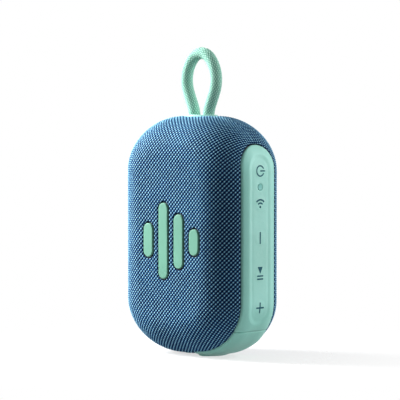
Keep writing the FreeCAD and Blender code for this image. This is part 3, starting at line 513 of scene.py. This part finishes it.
def grille_look():
    """A pressed and painted sheet, dark, with its round sound holes drawn between."""
    look = Look("grille_sheet")
    here = look.place()
    cell = look.node("TexVoronoi", {"Vector": here, "Scale": 0.45, "Randomness": 0.0})
    fine = look.noise(here, 5.0)
    # painted shade: the sound holes are drawn darker than the sheet, for the shaded inside seen
    # through them
    hole = look.step(cell, 0.24, 0.30)
    colour = look.mix(hole, rgb(8, 12, 20), rgb(26, 36, 50))
    return look.set(Base_Color=colour, Roughness=look.step(fine, 0.3, 0.7, 0.4, 0.55),
                    Metallic=0.6, Normal=look.bump(hole, 0.1, 0.7))


MINT, MINT_SHADE = rgb(134, 197, 186), rgb(128, 190, 178)
LOOKS = {
    "cloth_blue": knit_look(),
    "silicone_mint": silicone_look("silicone_skin", MINT, MINT_SHADE),
    "badge_mint": silicone_look("badge_inlay", rgb(101, 157, 136), rgb(96, 151, 131), 0.008,
                                0.15),
    "trim_mint": silicone_look("trim_moulding", rgb(150, 202, 190), rgb(140, 194, 182), 0.008),
    "cord_mint": cord_look(),
    "lens_milky": solid_look("milky_lens", rgb(118, 184, 177), rgb(112, 178, 171),
                             (0.5, 0.62), scale=0.8, bump=0.004, Subsurface_Weight=0.3,
                             Subsurface_Radius=(0.002, 0.002, 0.002),
                             Specular_IOR_Level=0.2),
    "grille_metal": grille_look(),
    "case_plastic": solid_look("case_moulding", rgb(22, 28, 34), rgb(30, 36, 43),
                               (0.42, 0.58), grain=8.0, bump=0.03),
    "seal_rubber": solid_look("seal_rubber", rgb(20, 20, 22), rgb(32, 32, 34), (0.6, 0.8)),
    "steel": solid_look("screw_steel", rgb(150, 152, 156), rgb(120, 122, 128), (0.25, 0.42),
                        metal=1.0, scale=1.5, grain=14, stretch=(1, 1, 4)),
    "basket_metal": solid_look("basket_paint", rgb(34, 36, 40), rgb(44, 46, 50),
                               (0.38, 0.55), metal=0.7, grain=10),
    "plated_metal": solid_look("zinc_plate", rgb(186, 182, 168), rgb(160, 158, 150),
                               (0.2, 0.38), metal=1.0, scale=0.8),
    "magnet_metal": solid_look("magnet_nickel", rgb(168, 166, 160), rgb(140, 138, 134),
                               (0.16, 0.3), metal=1.0, scale=0.5),
    "coil_copper": lined_look("coil_windings", rgb(120, 60, 28), rgb(206, 124, 70), 0.16, 1,
                              0.3, 0.9, 0.04),
    "spider_cloth": woven_look("spider_weave", rgb(150, 120, 60), rgb(196, 164, 96), 0.5),
    "cone_paper": solid_look("cone_pulp", rgb(30, 31, 34), rgb(46, 47, 50), (0.6, 0.85),
                             scale=0.9, grain=5, bump=0.06, Sheen_Weight=0.1),
    "cell_wrap": lined_look("cell_sleeve", rgb(42, 86, 146), rgb(48, 94, 156), 6.0, 0, 0.32,
                            0.0, 0.01, Coat_Weight=0.25),
    "lead_red": solid_look("lead_red", rgb(170, 32, 30), rgb(190, 44, 38), (0.35, 0.5)),
    "lead_black": solid_look("lead_black", rgb(24, 24, 26), rgb(34, 34, 36), (0.35, 0.5)),
    "board_green": board_look(),
    "chip_black": solid_look("chip_epoxy", rgb(26, 27, 30), rgb(38, 39, 42), (0.45, 0.6),
                             scale=0.6, grain=12),
    "socket_white": solid_look("socket_nylon", rgb(214, 212, 202), rgb(226, 224, 216),
                               (0.35, 0.5)),
    "flex_amber": lined_look("flex_tracks", rgb(186, 112, 30), rgb(206, 136, 48), 0.8, 2,
                             0.35, 0.0, 0.01, Coat_Weight=0.3),
}
PRINT = print_look()

SLOT_NODES = {
    "grille_metal": ["front_grille", "rear_grille"],
    "lens_milky": ["led_lens"],
    "trim_mint": ["strap_trim"],
    "case_plastic": ["main_housing", "rear_baffle", "battery_cradle", "strap_anchor"],
    "seal_rubber": ["housing_seal", "driver_gasket", "driver_surround", "radiator_surround"],
    "steel": ["housing_screws", "driver_screws", "radiator_screws", "board_screws",
              "key_board_screws", "strap_pin"],
    "basket_metal": ["driver_basket", "radiator_frame"],
    "plated_metal": ["magnet_yoke", "pole_plate", "usb_socket", "speaker_terminals",
                     "radiator_weight"],
    "magnet_metal": ["driver_magnet"],
    "coil_copper": ["voice_coil"],
    "spider_cloth": ["driver_spider"],
    "cone_paper": ["driver_cone", "dust_cap", "radiator_plate"],
    "cell_wrap": ["battery_cell"],
    "lead_red": ["battery_lead"],
    "lead_black": ["speaker_leads"],
    "board_green": ["main_board", "key_board", "port_board"],
    "chip_black": ["board_components"],
    "socket_white": ["battery_socket", "key_switches", "status_led",
                     *[key + "_switch_stem" for key in KEYS]],
    "flex_amber": ["key_flex", "port_flex"],
}
for slot, names in SLOT_NODES.items():
    for name in names:
        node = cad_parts[name]
        for held in node.material_slots:
            held.material = LOOKS[slot]


# ======================================================================================
# The carrying loop: a braided cord along a smooth line
# ======================================================================================

def smooth_line(name, route):
    """Points read from a NURBS line through the route's control points."""
    curve = bpy.data.curves.new(name, "CURVE")
    curve.dimensions, curve.resolution_u = "3D", 24
    spline = curve.splines.new("NURBS")
    spline.points.add(len(route) - 1)
    for point, (x, z) in zip(spline.points, route):
        point.co = (x * MM, 0, z * MM, 1)
    spline.order_u = 3
    spline.use_endpoint_u = True
    holder = bpy.data.objects.new(name, curve)
    bpy.context.scene.collection.objects.link(holder)
    bpy.context.view_layer.update()
    mesh = bpy.data.meshes.new_from_object(holder)
    line = np.array([v.co[:] for v in mesh.vertices]) / MM
    bpy.data.objects.remove(holder)
    bpy.data.meshes.remove(mesh)
    return line


def spaced(line, gap):
    """The line with evenly spaced points, and each point's way along it."""
    long = np.concatenate([[0], np.cumsum(np.linalg.norm(np.diff(line, axis=0), axis=1))])
    at = np.linspace(0, long[-1], max(2, round(long[-1] / gap)))
    return np.stack([np.interp(at, long, line[:, k]) for k in range(3)], 1), at


def braided_tube(line, along):
    """Points, faces and yarn counts of a tube with crossing yarns along a line."""
    ahead = np.gradient(line, axis=0)
    ahead /= np.linalg.norm(ahead, axis=1)[:, None]
    side = np.array((0.0, 1.0, 0.0))
    out = np.cross(ahead, side)
    turn = np.arange(CORD_AROUND + 1) / CORD_AROUND
    u = CORD_YARNS * turn[None] + along[:, None] / CORD_PITCH
    v = CORD_YARNS * turn[None] - along[:, None] / CORD_PITCH
    across_u, across_v = np.sin(np.pi * u), np.sin(np.pi * v)
    over = (np.floor(u) + np.floor(v)) % 2 == 0
    hump = np.where(over, np.abs(across_u) ** 0.6, np.abs(across_v) ** 0.6)
    reach = CORD_CORE + CORD_RELIEF * hump * np.abs(across_u * across_v) ** 0.5
    angle = 2 * np.pi * turn[None, :, None]
    rings = line[:, None] + reach[..., None] * (np.cos(angle) * out[:, None]
                                                + np.sin(angle) * side)
    rings[:, -1] = rings[:, 0]
    n = CORD_AROUND + 1
    corner = (np.arange(len(line) - 1)[:, None] * n + np.arange(CORD_AROUND)[None]).reshape(-1)
    faces = np.stack([corner, corner + 1, corner + n + 1, corner + n], 1).tolist()
    return rings.reshape(-1, 3), faces, np.stack([u, v], -1).reshape(-1, 2)


half_route = LEG + LOOP_ROUTE
route = [(-x, z) for x, z in half_route[:-1]] + list(reversed(half_route))
line, along = spaced(smooth_line("loop_line", route), CORD_STEP)
points, faces, yarn_counts = braided_tube(line, along)
cord = new_piece("braided_loop", points, faces, None, LOOKS["cord_mint"],
                 yarn_counts, sharp=0)
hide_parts("strap_loop", "strap_ends")
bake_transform(cord)


# ======================================================================================
# The knit cover
# ======================================================================================

def nearest_outline(u, v):
    """For points of the first quarter: the outline point nearest, its outward direction."""
    cx, cz = CORNER_X, CORNER_Z
    turn = np.arctan2((v - cz) * ACROSS, (u - cx) * UP)
    turn = np.clip(turn, 0, math.pi / 2)
    for _ in range(8):
        c, s = np.cos(turn), np.sin(turn)
        dx, dz = u - cx - ACROSS * c, v - cz - UP * s
        tx, tz = -ACROSS * s, UP * c
        bend = -(tx ** 2 + tz ** 2) + dx * (-ACROSS * c) + dz * (-UP * s)
        turn = np.clip(turn - (dx * tx + dz * tz) / np.minimum(bend, -50), 0, math.pi / 2)
    c, s = np.cos(turn), np.sin(turn)
    x, z = cx + ACROSS * c, cz + UP * s
    size = np.hypot(c / ACROSS, s / UP)
    nx, nz = c / ACROSS / size, s / UP / size
    on_side, on_top = v <= cz, (u <= cx) & (v > cz)
    x, z = np.where(on_side, HALF_WIDE, np.where(on_top, u, x)), np.where(
        on_side, v, np.where(on_top, HALF_TALL, z))
    nx, nz = np.where(on_side, 1.0, np.where(on_top, 0.0, nx)), np.where(
        on_side, 0.0, np.where(on_top, 1.0, nz))
    return x, z, nx, nz, (u - x) * nx + (v - z) * nz


def cloth_place(uv, depth=0.0, rear=1.0):
    """Lays the developed cloth over the front half of the body, or the rear one."""
    u, v = np.abs(uv[:, 0]), np.abs(uv[:, 1])
    sx, sz = np.where(uv[:, 0] < 0, -1.0, 1.0), np.where(uv[:, 1] < 0, -1.0, 1.0)
    px, pz, nx, nz, off = nearest_outline(u, v)
    over = off + EDGE
    flat = over <= 0
    tilt = np.clip(over / EDGE, 0, math.pi / 2)
    beyond = np.maximum(over - ROUND_LONG, 0)
    x = np.where(flat, u, px - nx * EDGE * (1 - np.sin(tilt)))
    z = np.where(flat, v, pz - nz * EDGE * (1 - np.sin(tilt)))
    y = SIDE_FLAT + EDGE * np.cos(tilt) - beyond
    normal = np.stack([sx * nx * np.sin(tilt), -np.cos(tilt), sz * nz * np.sin(tilt)], 1)
    xyz = np.stack([sx * x, -y, sz * z], 1) - normal * np.reshape(depth, (-1, 1))
    xyz[:, 1] *= rear
    return xyz + (0, 0, MIDDLE), over


def trim_way(xyz):
    """Distance outside the opening for the trim."""
    x, y, z = xyz.T
    a, b = TRIM[0] + TRIM[2], TRIM[1] + TRIM[2]
    size = np.hypot(x / a, y / b) + 1e-9
    slope = np.hypot(x / a ** 2, y / b ** 2) + 1e-9
    return np.where(z > MIDDLE + 30, (size - 1) * size / slope, 60.0)


def badge_way(xyz):
    """Distance outside the openings for the badge."""
    x, y, z = xyz.T
    apart = [capsule(x - across, z - BADGE_HEIGHT, BADGE_HALF - long / 2, long / 2 - BADGE_HALF,
                     BADGE_HALF + BADGE_GAP) for across, long in BADGE_BARS]
    return np.where(y < 0, np.min(apart, axis=0), 60.0)


def cloth_way(xyz):
    """Distance outside the opening for the silicone band."""
    return band(xyz, STRIP_HALF + STRIP_GAP, STRIP_TOP + STRIP_GAP)


def knit_piece(name, rear):
    """One half of the cover: a net along the yarns, cut at its openings, with relief."""
    def place(pq):
        return cloth_place(knit_uv(pq), 0.0, rear)[0]

    def to_middle(pq):
        """How far a point is from the middle of the sides, where the two halves meet."""
        return np.stack([SKIN_REACH - cloth_place(knit_uv(pq))[1]] * 3, 1)

    steps = np.arange(-KNIT_SPAN * KNIT_NET, KNIT_SPAN * KNIT_NET + 1) / KNIT_NET
    skin = Skin.net(steps, steps, place)
    near = (np.abs(knit_uv(skin.points)) < KNIT_REACH).all(1)
    skin.quads = skin.quads[near[skin.quads].any(1)]
    skin.tidy()
    over = cloth_place(knit_uv(skin.points))[1]
    skin.quads = skin.quads[(over[skin.quads] < SKIN_REACH + 1.5).any(1)]
    skin.tidy()
    half = Skin(skin.points, skin.quads, to_middle).keep(lambda value: value[:, 0])
    half.place = place
    for way in (cloth_way, trim_way, badge_way):
        half = half.keep(way)
    half.tidy()
    base = half.space()
    by_trim = trim_way(base)
    clear = np.minimum(cloth_way(base), badge_way(base))
    p, q = half.points.T
    lower, upper = 0.5 - 0.5 * np.cos(2 * np.pi * p), 0.5 - 0.5 * np.cos(2 * np.pi * q)
    on_top = upper ** 0.85 * (0.55 + 0.45 * lower)
    below = 0.62 * lower ** 0.85 * (1 - 0.3 * upper)
    relief = np.log(np.exp(on_top * 8) + np.exp(below * 8)) / 8 - math.log(2) / 8
    hem_roll = np.maximum(edge_roll(clear, *HEM_ROLL), edge_roll(by_trim, *TRIM_ROLL))
    depth = KNIT_DEEP * (1 - relief) - KNIT_PROUD + hem_roll
    points = cloth_place(knit_uv(half.points), depth, rear)[0]
    faces = half.faces() if rear > 0 else [face[::-1] for face in half.faces()]
    piece = new_piece(name, points, faces, "root", LOOKS["cloth_blue"],
                      half.points, sharp=0)
    # painted shade: how near a point is to the cut edges round the strip, the badge and the trim;
    # the knit's colour is darkened there for the shadow in those gaps
    near_edge = ease(1.3 - np.minimum(clear, 2 * by_trim) / 0.5)
    painted_edge_shade = piece.data.attributes.new("painted_edge_shade", "FLOAT", "POINT")
    painted_edge_shade.data.foreach_set("value", near_edge.astype(np.float32))
    return piece


def knit_uv(pq):
    """From yarn counts to the developed cloth's own millimetres."""
    p, q = pq.T
    return np.stack([KNIT_X * (p + q) / 2, KNIT_Z * (p - q) / 2], 1)


for piece in [knit_piece("knit_front", 1.0), knit_piece("knit_rear", -1.0)]:
    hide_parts("fabric_cover")


# ======================================================================================
# Silicone: the control strip with its keys, and the base with the port's cover
# ======================================================================================

def outline_table():
    """The right-hand outline by its length: zero at mid height, up is positive."""
    turn = np.linspace(0, math.pi / 2, 1500)
    x = np.concatenate([[HALF_WIDE], CORNER_X + ACROSS * np.cos(turn), [-30.0]])
    z = np.concatenate([[0.0], CORNER_Z + UP * np.sin(turn), [HALF_TALL]])
    nx = np.concatenate([[1.0], np.cos(turn) / ACROSS, [0.0]])
    nz = np.concatenate([[0.0], np.sin(turn) / UP, [1.0]])
    size = np.hypot(nx, nz)
    long = np.concatenate([[0], np.cumsum(np.hypot(np.diff(x), np.diff(z)))])
    return long, x, z, nx / size, nz / size


LONG, LINE_X, LINE_Z, LINE_NX, LINE_NZ = outline_table()


def band_place(yt, depth=0.0):
    """Lays the band's own (across, along) on the body's right side."""
    y, t = yt.T
    a, up = np.abs(t), np.where(t < 0, -1.0, 1.0)
    x, z, nx, nz = (np.interp(a, LONG, column) for column in (LINE_X, LINE_Z, LINE_NX, LINE_NZ))
    lean = np.maximum(np.abs(y) - SIDE_FLAT, 0)
    inset = EDGE - np.sqrt(EDGE ** 2 - lean ** 2) + depth
    return np.stack([x - nx * inset, y, MIDDLE + up * (z - nz * inset)], 1)


def along_of(height):
    """The outline length at a height of the right-hand side."""
    up = 1 if height > MIDDLE else -1
    return up * float(np.interp(abs(height - MIDDLE), LINE_Z[:-1], LONG[:-1]))


def finer(low, high, gap):
    """Even steps from low to high, about a gap apart."""
    return np.linspace(low, high, max(2, int(round((high - low) / gap)) + 1))


def under_band(xyz):
    """Distance outside the silicone band's own outline."""
    return band(xyz, STRIP_HALF, STRIP_TOP)


def band_net(low, high):
    """A net over a length of the band, cut to its outline."""
    skin = Skin.net(finer(-BAND_NET_HALF, BAND_NET_HALF, BAND_NET), finer(low, high, BAND_NET),
                    band_place)
    return skin.keep(lambda xyz: -under_band(xyz))


def strip_depth(xyz):
    """The strip's own relief: rounded rim, long hollow, keys and the light's dimple."""
    rim = edge_roll(-under_band(xyz), *RIM_ROLL)
    low_end = edge_roll(xyz[:, 2] - (SEAM + SEAM_GAP), *SEAM_ROLL)
    hollow = ISLAND_DEEP * ease((1.3 - island(xyz)) / 2.6)
    dimple = edge_roll(from_round(xyz, LIGHT_HEIGHT) - LIGHT_RADIUS, *DIMPLE_ROLL)
    domes = sum(0.06 * ease((4.4 - from_round(xyz, height)) / 2.0) for height in KEYS.values())
    return np.maximum(rim, low_end) + hollow + dimple - domes


skin = band_net(along_of(SEAM) - 1, along_of(STRIP_TOP) + 1.5)
skin = skin.keep(lambda xyz: xyz[:, 2] - (SEAM + SEAM_GAP))
skin = skin.keep(lambda xyz: from_round(xyz, LIGHT_HEIGHT) - LIGHT_RADIUS)
key_skins = {}
for key, height in KEYS.items():
    skin, key_skins[key] = skin.part(lambda xyz: from_round(xyz, height) - KEY_RADIUS)


def flared(yt, heights, way):
    """Moves the cut's inner edge out from each key, or in, so that a pressed key runs free."""
    out = yt.copy()
    for height in heights:
        off = yt - (0, along_of(height))
        long = np.maximum(np.linalg.norm(off, axis=1), 1e-6)
        near = np.clip(1 - np.abs(long - KEY_RADIUS), 0, 1)
        out += off / long[:, None] * (way * near)[:, None]
    return out


def band_shell(name, skin, back, body, heights, way):
    """A piece of the strip, down to a depth, with its cuts round the keys flared."""
    skin.tidy()
    top = strip_depth(skin.space())
    points, faces = shell(band_place(skin.points, top),
                          band_place(flared(skin.points, heights, way), back), skin)
    return new_piece(name, points, faces, body, LOOKS["silicone_mint"],
                     sharp=50)


strip = band_shell("control_band", skin, STRIP_BACK, "root", KEYS.values(), 0.5)
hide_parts("control_strip")
for key, key_skin in key_skins.items():
    cap = band_shell(key + "_face", key_skin, KEY_BACK, key + "_button", [KEYS[key]], -0.2)
    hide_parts(key + "_key")


# icons: printed shapes a hair above each key, as distances over (to the rear, up)
def icon_power(p):
    ring = np.abs(np.hypot(*p.T) - 2.55) - 0.36
    way = np.where(p[:, 0] > 0, np.abs(p[:, 1]) - 1.05, -9 * p[:, 0])
    return np.minimum(np.maximum(ring, -way), segment(p, (0.2, 0), (3.1, 0), 0.34))


def icon_pairing(p):
    bow = [np.maximum(np.abs(np.hypot(p[:, 0], p[:, 1] + 2.0) - radius) - 0.4,
                      np.abs(p[:, 0]) * 0.72 - (p[:, 1] + 2.0) * 0.72) for radius in (2.2, 3.8)]
    dot = np.hypot(p[:, 0], p[:, 1] + 1.75) - 0.62
    return np.minimum(np.minimum(*bow), dot)


def icon_minus(p):
    return segment(p, (0, -2.6), (0, 2.6), 0.42)


def icon_play(p):
    y, z = p[:, 0], p[:, 1] - 1.8
    point = np.maximum(z - 1.75, (np.abs(y) * 3.5 - (z + 1.75) * 1.8) / math.hypot(3.5, 1.8))
    bars = [segment(p, (-1.85, height), (1.85, height), 0.38) for height in (-1.0, -2.5)]
    return np.minimum(point, np.minimum(*bars))


def icon_plus(p):
    return np.minimum(segment(p, (0, -2.4), (0, 2.4), 0.4), segment(p, (-2.4, 0), (2.4, 0), 0.4))


ICONS = {"power": icon_power, "pairing": icon_pairing, "volume_down": icon_minus,
         "play": icon_play, "volume_up": icon_plus}
for key, drawn in ICONS.items():
    height = KEYS[key]
    at = along_of(height)
    icon = Skin.net(finer(-ICON_NET_HALF, ICON_NET_HALF, ICON_NET),
                    finer(at - 4.1, at + 4.1, ICON_NET), band_place)
    icon = icon.keep(lambda xyz: -drawn(xyz[:, 1:] - (0, height))).tidy()
    level = strip_depth(icon.space())
    points, faces = shell(band_place(icon.points, level - ICON_UNDER),
                          band_place(icon.points, level + ICON_OVER), icon)
    new_piece(key + "_icon", points, faces, key + "_button", PRINT, sharp=60)


# the base: one moulding from the foot to the free edge of the port's cover
def pad_way(xyz):
    """Distance outside the foot pad's flat."""
    x, y, z = xyz.T
    near = x - np.clip(x, PAD[0] + PAD[2], PAD[1] - PAD[2])
    return np.where(z < 20, np.hypot(near, y) - PAD[2], 60.0)


def base_depth(xyz):
    """The base's relief: rounded rim and seam, and a fuller lower right corner."""
    rim = edge_roll(-under_band(xyz), *RIM_ROLL)
    high_end = edge_roll((SEAM - SEAM_GAP) - xyz[:, 2], *SEAM_ROLL)
    full = 0.55 * ease((SEAM - xyz[:, 2]) / 6) * ease((xyz[:, 0] - 8) / 14)
    return np.maximum(rim, high_end) - full


skin = band_net(-LONG[-1] + 26, along_of(SEAM) + 1)
skin = skin.keep(lambda xyz: (SEAM - SEAM_GAP) - xyz[:, 2]).tidy()
top = band_place(skin.points, base_depth(skin.space()))
# the foot has a crisp lip at its inner end and runs out gently under the port's cover
lower = ease(-pad_way(top) / (0.5 + 4.5 * ease((top[:, 0] - 8) / 6)))
top[:, 2] *= 1 - lower
points, faces = shell(top, band_place(skin.points, BASE_BACK), skin)
base = new_piece("silicone_base", points, faces, None, LOOKS["silicone_mint"],
                 sharp=50)
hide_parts("base_foot", "port_cover")
turn = math.radians(HINGE_TURN)
along_skin = np.array((ACROSS * math.sin(turn), 0, UP * math.cos(turn)))
along_skin *= HINGE_BLEND / np.linalg.norm(along_skin)
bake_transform(base)


# the stud under the left half, a low disc with a rolled lip, sunk a little into the knit
n = 48
turn = np.arange(n) / n * 2 * math.pi
rings = np.concatenate([np.stack([STUD_ACROSS + radius * np.cos(turn), radius * np.sin(turn),
                                  np.full(n, height)], 1) for radius, height in STUD_PROFILE])
faces = [[n * k + i, n * k + (i + 1) % n, n * k + n + (i + 1) % n, n * k + n + i]
         for k in range(len(STUD_PROFILE) - 1) for i in range(n)]
faces += [list(range(n - 1, -1, -1)), list(range(len(rings) - n, len(rings)))]
stud = new_piece("foot_stud", rings, faces, "root", LOOKS["silicone_mint"])
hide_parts("base_foot")


# ======================================================================================
# The badge: four level bars let into the cloth
# ======================================================================================

def badge_place(xz, depth=0.0):
    """Lays points on the badge's flat face, or a depth behind it."""
    x, z = xz.T
    return np.stack([x, np.full(len(x), -HALF_DEEP - BADGE_PROUD) + depth, z], 1)


bars_points, bars_faces = [], []
for across, long in BADGE_BARS:
    reach = long / 2 - BADGE_HALF

    def inside(xyz):
        return -capsule(xyz[:, 0] - across, xyz[:, 2] - BADGE_HEIGHT, -reach, reach, BADGE_HALF)

    bar = Skin.net(finer(across - 3.3, across + 3.3, 0.22),
                   finer(BADGE_HEIGHT - long / 2 - 0.1, BADGE_HEIGHT + long / 2 + 0.1, 0.25),
                   badge_place).keep(inside).tidy()
    top = badge_place(bar.points, edge_roll(inside(bar.space()), *BADGE_ROLL))
    points, faces = shell(top, badge_place(bar.points, BADGE_BACK), bar)
    shift = sum(map(len, bars_points))
    bars_points.append(points)
    bars_faces += [[i + shift for i in face] for face in faces]
badge = new_piece("badge_inlay", np.concatenate(bars_points), bars_faces, "root",
                  LOOKS["badge_mint"], sharp=50)
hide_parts("badge_bars")


# ======================================================================================
# Floor, light and camera
# ======================================================================================

DIM_SIDE = 0.57, -0.82, 0.0          # the room is dimmer towards here
DIM_FROM, DIM_TO = (0.1, 0.95), (0.42, 0.27)


def studio():
    """A pale floor that runs out into white, and a room that lights softly."""
    bpy.ops.mesh.primitive_plane_add(size=6, location=(0, 0, 0))
    floor = bpy.context.object
    floor.name = "floor"
    look = Look("pale_floor")
    here = look.place()
    tone = look.mix(look.noise(here, 0.002), (0.86, 0.87, 0.88, 1), (0.89, 0.89, 0.89, 1))
    flat = look.node("VectorMath", {0: here, 1: (1, 1, 0)}, operation="MULTIPLY")
    out = look.node("VectorMath", {0: flat}, out=1, operation="LENGTH")
    # the paper's far edge runs out into the white behind it
    floor.data.materials.append(look.set(Base_Color=tone, Roughness=0.9,
                                         Alpha=look.step(out, 25, 160, 0.35, 0.0)))
    world = bpy.data.worlds.new("studio")
    bpy.context.scene.world = world
    world.use_nodes = True
    tree = world.node_tree
    sky = tree.nodes["Background"]
    sky.inputs["Color"].default_value = (1, 1, 1, 1)
    # the paper shows white, and lights the object more gently; one side of the room is dim
    seen = tree.nodes.new("ShaderNodeLightPath").outputs["Is Camera Ray"]
    way = tree.nodes.new("ShaderNodeTexCoord").outputs["Generated"]
    facing = tree.nodes.new("ShaderNodeVectorMath")
    facing.operation = "DOT_PRODUCT"
    facing.inputs[1].default_value = DIM_SIDE
    tree.links.new(way, facing.inputs[0])
    dim = tree.nodes.new("ShaderNodeMapRange")
    dim.inputs["From Min"].default_value, dim.inputs["From Max"].default_value = DIM_FROM
    dim.inputs["To Min"].default_value, dim.inputs["To Max"].default_value = DIM_TO
    tree.links.new(facing.outputs["Value"], dim.inputs["Value"])
    level = tree.nodes.new("ShaderNodeMapRange")
    level.inputs["To Max"].default_value = 1.0
    tree.links.new(dim.outputs["Result"], level.inputs["To Min"])
    tree.links.new(seen, level.inputs["Value"])
    tree.links.new(level.outputs["Result"], sky.inputs["Strength"])
    bpy.context.scene.view_settings.view_transform = "Standard"


def direction(azimuth, elevation):
    """Degrees from the front towards the right-hand side, and up."""
    a, e = math.radians(azimuth), math.radians(elevation)
    return Vector((math.sin(a) * math.cos(e), -math.cos(a) * math.cos(e), math.sin(e)))


def put_facing(name, data, place, way):
    """Links a light or camera that looks back along a direction."""
    thing = bpy.data.objects.new(name, data)
    thing.location = place
    thing.rotation_euler = way.to_track_quat("Z", "Y").to_euler()
    bpy.context.scene.collection.objects.link(thing)
    return thing


def lamp(name, azimuth, elevation, distance, size, power):
    data = bpy.data.lights.new(name, "AREA")
    data.shape, data.size, data.size_y, data.energy = "RECTANGLE", size[0], size[1], power
    to = direction(azimuth, elevation)
    put_facing(name, data, LAMP_AIM + to * distance, to)


LAMP_AIM, CAMERA_AIM = Vector((0, 0, 0.06)), Vector((0, 0, 0.06025))
SNOOT_AIM, SNOOT_PLACE = Vector((0, 0, 0.145)), Vector((0.74, -0.40, 0.16))

studio()
lamp("left_window", -62, 28, 0.6, (0.24, 0.38), 13.4)
lamp("right_window", 142, 16, 0.9, (0.35, 0.8), 8.6)
lamp("top_window", 0, 78, 1.0, (0.5, 0.5), 0.2)
snoot_data = bpy.data.lights.new("loop_snoot", "SPOT")
snoot_data.energy, snoot_data.shadow_soft_size = 25.0, 0.06
snoot_data.spot_size, snoot_data.spot_blend = math.radians(4.6), 0.8
put_facing("loop_snoot", snoot_data, SNOOT_PLACE, SNOOT_PLACE - SNOOT_AIM)

camera_data = bpy.data.cameras.new("camera")
camera_data.lens, camera_data.sensor_width = 191.6, 36
camera_data.shift_x, camera_data.shift_y = -0.00375, 0.0878
toward = direction(45.0, 3.2)
camera = put_facing("camera", camera_data, CAMERA_AIM + toward * 1.077, toward)
bpy.context.scene.camera = camera
